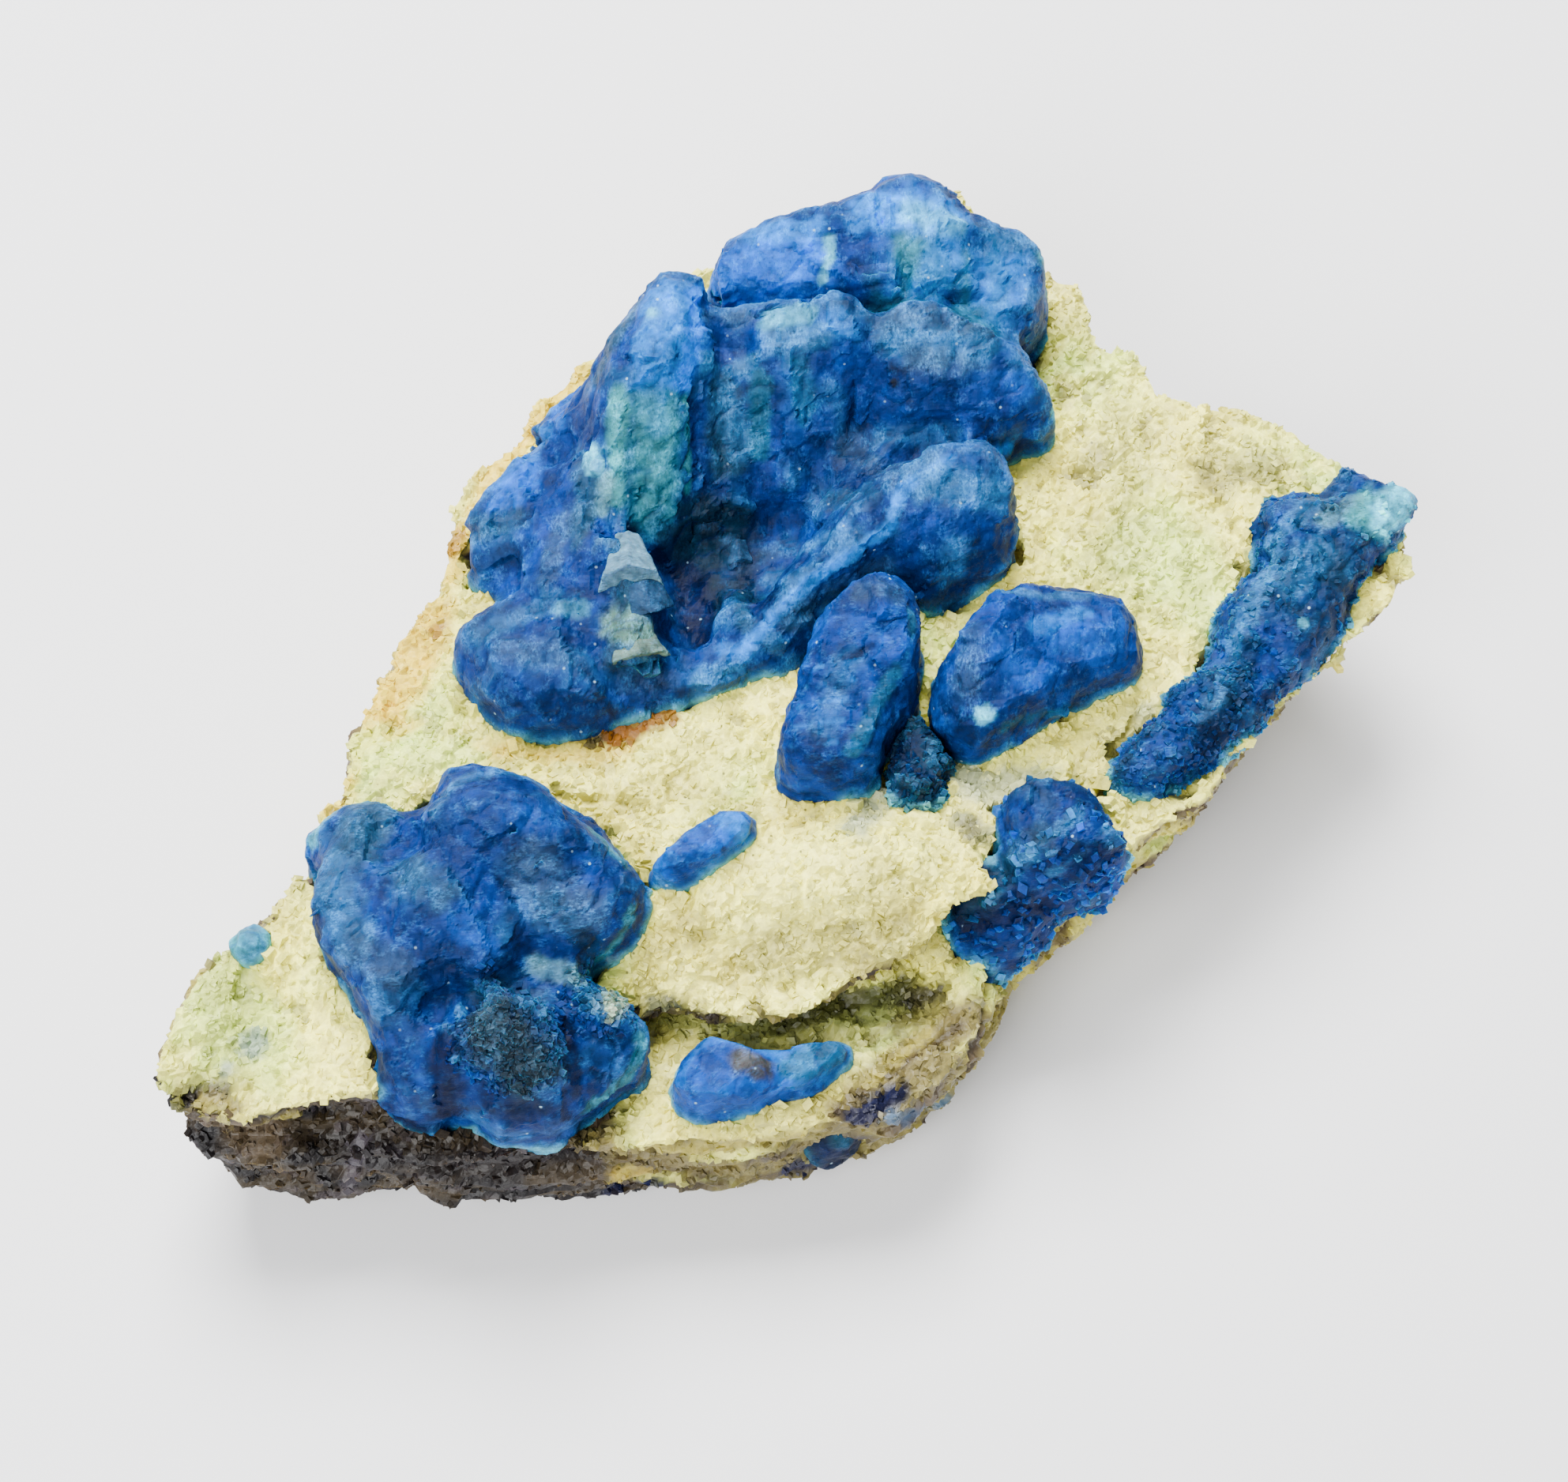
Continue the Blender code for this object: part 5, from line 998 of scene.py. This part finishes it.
upper = crystal_piece("upper_cluster", "upper_crystals", voxel=0.25 * MM,
                      relief=(0.11 * MM, 0.05 * MM), colours=(ROYAL, DEEP, FROST), dabs=UPPER_DABS,
                      frostiness=0.45, ribs=UPPER_RIBS, finish=columnar, across=DOWN_SLOPE,
                      slits=0.9 * MM, face_size=2.4 * MM)


# The chips are small grey and olive pieces of broken hackmanite in and beside the dark hollow,
# and a pale one on the left flank. Each has its foot sunk into the skin of the cluster.
CHIP_VOXEL = 0.12 * MM
CHIP_FROST = 0.3
UPPER_CHIPS = [
    (CHIP_GREY, (-8.7, 5.2), (-8.95, 8.3), 1.9, 0.75, 7, 0.45),
    (STEEL, (-7.6, 3.6), (-8.2, 5.6), 1.5, 1.1, 7, 0.7),
    (OLIVE, (-8.2, 0.6), (-8.9, 3.6), 1.9, 0.7, 7, 1.15),
    (MIST, (-10.8, 12.6), (-10.7, 13.4), 0.5, 0.4, 5, 0.1),
    (STEEL, (-2.6, 6.6), (-2.9, 8.0), 0.8, 0.6, 5, 0.3),
]


def chips(name, host, finish, parts):
    """Small tapered chips of crystal that stand on a host piece, joined into one mesh."""
    tree = tree_of(host)
    made = []
    for colour, start, end, first_radius, last_radius, sides, sink in parts:
        middle, length, turn = lie_between(tree, start, end, sink)
        bpy.ops.mesh.primitive_cone_add(vertices=sides, radius1=first_radius * MM,
                                        radius2=last_radius * MM, depth=length, location=middle,
                                        rotation=turn)
        chip = bpy.context.object
        bpy.ops.object.transform_apply(location=True, rotation=True, scale=True)
        work(chip, "REMESH", mode="VOXEL", voxel_size=CHIP_VOXEL)
        places, normals = vectors(chip, "co"), vectors(chip, "normal")
        rise = 0.10 * MM * ripple(places, 0.8 * MM, 25) + 0.05 * MM * ripple(places, 0.3 * MM, 26)
        move_to(chip, places + normals * rise[:, None])
        tone = 0.85 + 0.5 * ripple(places, 0.7 * MM, 27)
        keep_tint(chip, np.array(colour) * tone[:, None], np.full(len(places), CHIP_FROST))
        made.append(chip)
    pick(made[0])
    for chip in made:
        chip.select_set(True)
    bpy.ops.object.join()
    piece = made[0]
    piece.name = name
    piece.data.materials.append(finish)
    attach(piece, "root")


chips("upper_chips", upper, striated, UPPER_CHIPS)


# The lower left cluster is a group of rounded hackmanite lobes, frosted violet grey over saturated
# blue. It has grown from the marble, and tiny dark crystals cover its near knob and the saddle
# beside it.
GREY_GRAIN = (0.014, 0.026, 0.048)
GRANULAR_SPOTS = [
    ((-14.3, -20.9), 4.2, 2.6),
    ((-8.8, -17.8), 2.6, 1.4),
]
LOWER_LEFT_RIBS = [
    ((-17.0, -9.4), (-14.0, -9.6), 2.6, 2.8, 0, 2.0),
    ((-13.6, -10.0), (-11.0, -11.0), 1.6, 1.8, 0, 1.2),
    ((-17.8, -12.6), (-15.8, -16.4), 1.9, 1.3, 5, 1.2),
    ((-13.6, -11.6), (-11.4, -16.0), 1.6, 1.3, 6, 1.1),
    ((-22.8, -9.4), (-23.6, -14.6), 1.7, 1.8, 6, 1.3),
    ((-20.8, -12.4), (-20.4, -18.0), 1.4, 1.3, 5, 1.0),
    ((-16.0, -20.2), (-12.8, -22.0), 1.9, 1.7, 7, 1.2),
    ((-17.2, -19.6), (-16.9, -22.6), 0.5, 0.6, 4, 0.2),
    ((-9.6, -20.6), (-9.8, -24.4), 1.1, 1.0, 5, 0.8),
    ((-20.4, -21.4), (-20.0, -25.0), 1.0, 0.9, 5, 0.7),
]
LOWER_LEFT_DABS = [
    (DEEP, 0.8, 2.6, (-18.4, -9.6), (-12.4, -9.8)),
    (AZURE, 0.4, 1.2, (-15.0, -8.4), (-12.6, -8.8)),
    (FROST, 0.6, 0.7, (-19.0, -8.4), (-17.4, -6.4), (-14.2, -6.4), (-11.6, -8.2)),
    (STEEL, 0.85, 2.2, (-23.4, -10.6), (-22.4, -8.2)),
    (SEA_GREEN, 0.6, 0.9, (-25.9, -9.8), (-24.2, -8.0), (-21.4, -7.6)),
    (FROST, 0.75, 1.8, (-24.4, -12.0), (-23.0, -16.0)),
    (STEEL, 0.7, 1.6, (-20.6, -11.6), (-18.4, -13.0)),
    (NAVY, 0.6, 0.5, (-20.9, -11.8), (-21.6, -13.0)),
    (AZURE, 0.6, 1.2, (-17.2, -14.6), (-16.0, -15.8)),
    (DEEP, 0.9, 1.4, (-18.8, -16.6), (-15.4, -17.4)),
    (VIOLET_GREY, 0.75, 2.2, (-13.6, -11.8), (-11.0, -14.6)),
    (BLUE_GREY, 0.7, 1.0, (-12.6, -13.6), (-10.4, -16.0)),
    (NAVY, 0.7, 0.6, (-15.2, -12.4), (-14.2, -15.6), (-13.0, -17.2)),
    (DEEP, 0.6, 1.1, (-9.6, -12.6), (-8.6, -14.4)),
    (SEA_GREEN, 0.5, 0.6, (-10.4, -9.6), (-8.6, -11.4)),
    (SEA_GREEN, 0.5, 0.6, (-8.2, -14.2), (-9.8, -16.8)),
    (VIOLET_GREY, 0.6, 1.6, (-22.6, -16.2), (-20.6, -17.6)),
    (STEEL, 0.6, 1.4, (-15.8, -18.9), (-13.0, -19.3)),
    (GREY_GRAIN, 0.95, 3.0, (-15.6, -20.6), (-13.4, -23.0)),
    (FROST, 0.5, 0.45, (-17.0, -19.6), (-17.1, -22.4)),
    (NAVY, 1.0, 1.5, (-17.9, -21.6), (-17.4, -25.2)),
    (NAVY, 0.85, 1.6, (-21.0, -22.8), (-19.4, -26.0)),
    (NAVY, 0.9, 0.7, (-11.5, -20.6), (-10.9, -24.2)),
    (NAVY, 0.7, 1.3, (-15.0, -24.8), (-12.0, -25.6)),
    (DEEP, 0.7, 1.3, (-19.8, -20.0), (-20.0, -23.0)),
    (ROYAL, 0.8, 1.0, (-20.4, -24.4), (-20.2, -25.4)),
    (DEEP, 0.8, 1.2, (-9.4, -21.6), (-9.8, -23.2)),
    (SEA_GREEN, 0.6, 0.7, (-7.6, -21.4), (-8.4, -23.6), (-10.2, -25.0)),
    (FROST, 0.6, 0.8, (-10.4, -19.2), (-8.8, -19.8)),
    (GREY_WHITE, 0.5, 1.1, (-8.8, -17.2), (-7.6, -18.8)),
    (CHIP_GREY, 0.5, 0.9, (-13.2, -17.3), (-11.0, -17.8)),
]
lower_left = crystal_piece("lower_left_cluster", "lower_left_crystals",
                           voxel=0.2 * MM, relief=(0.11 * MM, 0.06 * MM), colours=(ROYAL, DEEP, FROST),
                           dabs=LOWER_LEFT_DABS, frostiness=0.5, ribs=LOWER_LEFT_RIBS, slits=0.7 * MM,
                           face_size=2.2 * MM)
lobe_places = vectors(lower_left, "co")
lobe_tree = tree_of(lower_left)
granular = np.zeros(len(lobe_places))
for spot, reach, core in GRANULAR_SPOTS:
    from_spot = np.linalg.norm(lobe_places - np.array(seen(lobe_tree, *spot)), axis=1)
    granular += step_up(reach * MM, core * MM, from_spot)
scatter("knob_grains", lower_left, striated, count=1500, sizes=(0.16 * MM, 0.4 * MM),
        likely=granular, lightness=(0.5, 1.7), seed=8)


# The two dark hackmanite prisms lie on the open marble beside the ridge, half grown into it. The
# middle one is striated across, and the right one has a pale rim.
CENTER_RIBS = [
    ((4.4, 5.4), (5.4, 2.6), 1.3, 1.7, 6, 1.0),
    ((3.4, 1.8), (2.2, -1.0), 1.9, 1.9, 7, 1.6),
    ((1.6, -2.4), (0.9, -5.2), 1.7, 1.5, 7, 1.4),
]
CENTER_DABS = [
    (VIOLET_GREY, 0.6, 1.0, (4.2, 5.0), (6.0, 4.8)),
    (AZURE, 0.5, 0.8, (3.6, 3.0), (5.2, 1.4)),
    (FROST, 0.4, 1.2, (3.4, 0.8), (1.8, -3.6)),
    (NAVY, 0.8, 0.35, (1.2, 1.2), (3.4, 0.6), (4.6, 1.6)),
    (NAVY, 0.6, 1.2, (1.4, -4.6), (2.4, -6.4)),
    (TEAL, 0.7, 0.7, (6.9, 3.4), (5.6, -0.6), (3.6, -4.8)),
    (FROST, 0.5, 0.6, (-0.6, -3.6), (-0.5, -6.4)),
    (SKY, 0.4, 0.22, (1.6, 0.2), (4.0, 0.7)),
    (SKY, 0.45, 0.22, (1.0, -1.0), (3.6, -0.5)),
    (SKY, 0.45, 0.22, (0.6, -2.2), (3.2, -1.7)),
    (SKY, 0.45, 0.2, (0.4, -3.4), (3.0, -3.0)),
    (SKY, 0.4, 0.2, (0.2, -4.6), (2.6, -4.3)),
]
RIGHT_RIBS = [
    ((10.4, 1.0), (12.6, 4.0), 1.6, 1.5, 6, 1.1),
    ((13.6, 2.4), (18.0, 1.8), 1.7, 1.6, 6, 1.2),
    ((10.2, -0.6), (15.6, -2.6), 1.4, 1.4, 5, 1.0),
]
RIGHT_DABS = [
    (AZURE, 0.85, 1.9, (15.0, 2.6), (18.0, 1.2)),
    (AZURE, 0.5, 1.2, (12.0, 1.4), (13.6, -0.2)),
    (FROST, 0.7, 0.6, (9.4, 2.4), (12.0, 5.0), (16.4, 4.8), (19.8, 2.8)),
    (SKY, 0.5, 0.7, (13.8, 2.8), (16.4, 3.6)),
    (VIOLET_GREY, 0.6, 1.4, (10.0, 2.0), (9.6, -1.0)),
    (DEEP, 0.7, 1.0, (8.8, -1.8), (10.0, -3.4)),
    (TEAL, 0.6, 0.8, (12.0, -3.4), (15.4, -3.4)),
    (MIST, 1.0, 0.75, (10.8, -2.7)),
]
crystal_piece("center_prism", "center_prism_crystal", voxel=0.17 * MM,
              relief=(0.09 * MM, 0.07 * MM), colours=(ROYAL, DEEP, AZURE), dabs=CENTER_DABS,
              frostiness=0.45, ribs=CENTER_RIBS)
crystal_piece("right_prism", "right_prism_crystal", voxel=0.17 * MM,
              relief=(0.09 * MM, 0.05 * MM), colours=(ROYAL, DEEP, AZURE), dabs=RIGHT_DABS,
              frostiness=0.5, ribs=RIGHT_RIBS, finish=columnar)


# Three light blue pieces of clearer hackmanite sit low in the marble: the small prism, the flat
# crystal on the recessed shelf with its brown patch and teal tail, and the round bead near the
# left tip.
SMALL_DABS = [
    (SKY, 0.8, 0.8, (-3.4, -8.8), (-2.2, -9.8)),
    (FROST, 0.6, 0.6, (-7.2, -11.6), (-6.4, -12.8)),
]
LOWER_PRISM_DABS = [
    (BROWN, 0.9, 1.0, (-2.4, -22.5), (-1.2, -22.9)),
    (TEAL, 0.8, 1.5, (0.6, -22.8), (3.2, -21.4)),
    (AZURE, 0.7, 1.4, (-5.0, -25.4), (-2.0, -25.2)),
]
crystal_piece("small_prism", "small_prism_crystal", voxel=0.14 * MM,
              relief=(0.06 * MM, 0.03 * MM), colours=(AZURE, ROYAL, SKY), dabs=SMALL_DABS,
              frostiness=0.25, finish=clear_blue, face_size=1.4 * MM)
crystal_piece("lower_prism", "lower_prism_crystal", voxel=0.14 * MM,
              relief=(0.06 * MM, 0.03 * MM), colours=(AZURE, ROYAL, SKY), dabs=LOWER_PRISM_DABS,
              frostiness=0.35, finish=clear_blue)
crystal_piece("bead_crystal", "bead", voxel=0.1 * MM,
              relief=(0.03 * MM, 0.03 * MM), colours=(SEA_GREEN, FROST, MIST), frostiness=0.2,
              finish=clear_blue, face_size=1.0 * MM)


# Two grey-blue crusts of tiny hackmanite crystals have grown over the marble: the skin between the
# two prisms, and the strip along the right edge with its pale teal tip.
EDGE_RIBS = [
    ((34.2, 10.4), (31.4, 9.4), 1.3, 1.3, 0, 0.8),
    ((29.0, 7.0), (26.4, 3.8), 1.2, 1.0, 6, 0.9),
    ((24.6, -0.6), (21.8, -5.4), 1.2, 1.1, 5, 0.9),
]
EDGE_DABS = [
    (SEA_GREEN, 0.95, 2.0, (33.0, 10.2)),
    (MIST, 1.0, 1.7, (34.6, 10.8), (33.8, 9.6)),
    (FROST, 0.6, 1.4, (29.6, 7.6), (28.0, 5.4)),
    (FROST, 0.75, 0.9, (29.6, 10.6), (27.2, 8.0), (26.2, 5.0), (24.6, 1.6)),
    (CHIP_GREY, 0.4, 0.8, (32.0, 10.8), (30.2, 9.6)),
    (NAVY, 0.6, 1.6, (24.0, -3.6), (21.0, -6.4)),
    (BLUE_GREY, 0.6, 1.2, (25.6, 1.6), (24.6, -1.4)),
    (MIST, 0.9, 0.4, (28.5, 3.0)),
]
drusy = crystal_piece("drusy_crust", "drusy_skin", voxel=0.14 * MM,
                      relief=(0.14 * MM, 0.12 * MM), colours=(BLUE_GREY, NAVY, STEEL), frostiness=0.6)
edge = crystal_piece("right_edge_crust", "right_edge_crystals",
                     voxel=0.19 * MM, relief=(0.12 * MM, 0.1 * MM), colours=(ROYAL, BLUE_GREY, STEEL),
                     dabs=EDGE_DABS, frostiness=0.6, ribs=EDGE_RIBS)
all_over = np.ones(len(drusy.data.vertices))
inner_end = step_up(29 * MM, 25 * MM, vectors(edge, "co")[:, 0])
scatter("drusy_grains", drusy, striated, count=700,
        sizes=(0.16 * MM, 0.42 * MM), likely=all_over, lightness=(0.7, 2.0), seed=9)
scatter("edge_grains", edge, striated, count=1800,
        sizes=(0.14 * MM, 0.4 * MM), likely=0.3 + inner_end, lightness=(0.7, 1.9), seed=10)


# The lower right cluster is a striated hackmanite block over a darker, broken part that loose
# grains cover. The side crystal sits alone in the layered wall. Both have grown from the marble.
ACROSS_BLOCK = (-0.7, 0.7, 0.1)
LOWER_RIGHT_RIBS = [
    ((12.4, -11.6), (15.6, -8.2), 0.5, 0.6, 4, 0.1),
    ((13.6, -12.2), (17.0, -9.0), 0.5, 0.6, 4, 0.1),
    ((15.2, -12.4), (18.2, -10.2), 0.5, 0.5, 4, 0.1),
]
LOWER_RIGHT_DABS = [
    (NAVY, 0.95, 2.4, (9.4, -14.2), (12.4, -18.0)),
    (NAVY, 0.8, 1.4, (11.0, -13.6), (13.6, -14.0)),
    (FROST, 0.7, 0.6, (12.6, -11.4), (15.6, -8.4)),
    (FROST, 0.6, 0.5, (14.0, -12.0), (17.2, -9.4)),
    (STEEL, 0.6, 1.0, (11.6, -11.6), (13.6, -9.6)),
    (BLUE_GREY, 0.7, 1.3, (9.4, -14.0), (11.2, -12.2)),
]
lower_right = crystal_piece("lower_right_cluster", "lower_right_crystals",
                            voxel=0.17 * MM, relief=(0.1 * MM, 0.08 * MM),
                            colours=(ROYAL, NAVY, STEEL), dabs=LOWER_RIGHT_DABS, frostiness=0.55,
                            ribs=LOWER_RIGHT_RIBS, across=ACROSS_BLOCK)
block_x, block_y, _ = vectors(lower_right, "co").T
broken_side = step_up(-9 * MM, -12 * MM, block_y - 0.4 * (block_x - 12 * MM))
scatter("block_grains", lower_right, striated, count=500, sizes=(0.2 * MM, 0.5 * MM),
        likely=0.05 + broken_side, lightness=(0.8, 4.0), seed=11)
crystal_piece("side_crystal", "side_wall_crystal", voxel=0.14 * MM,
              relief=(0.06 * MM, 0.05 * MM), colours=(NAVY, BLUE_GREY, BLUE_GREY), frostiness=0.15)
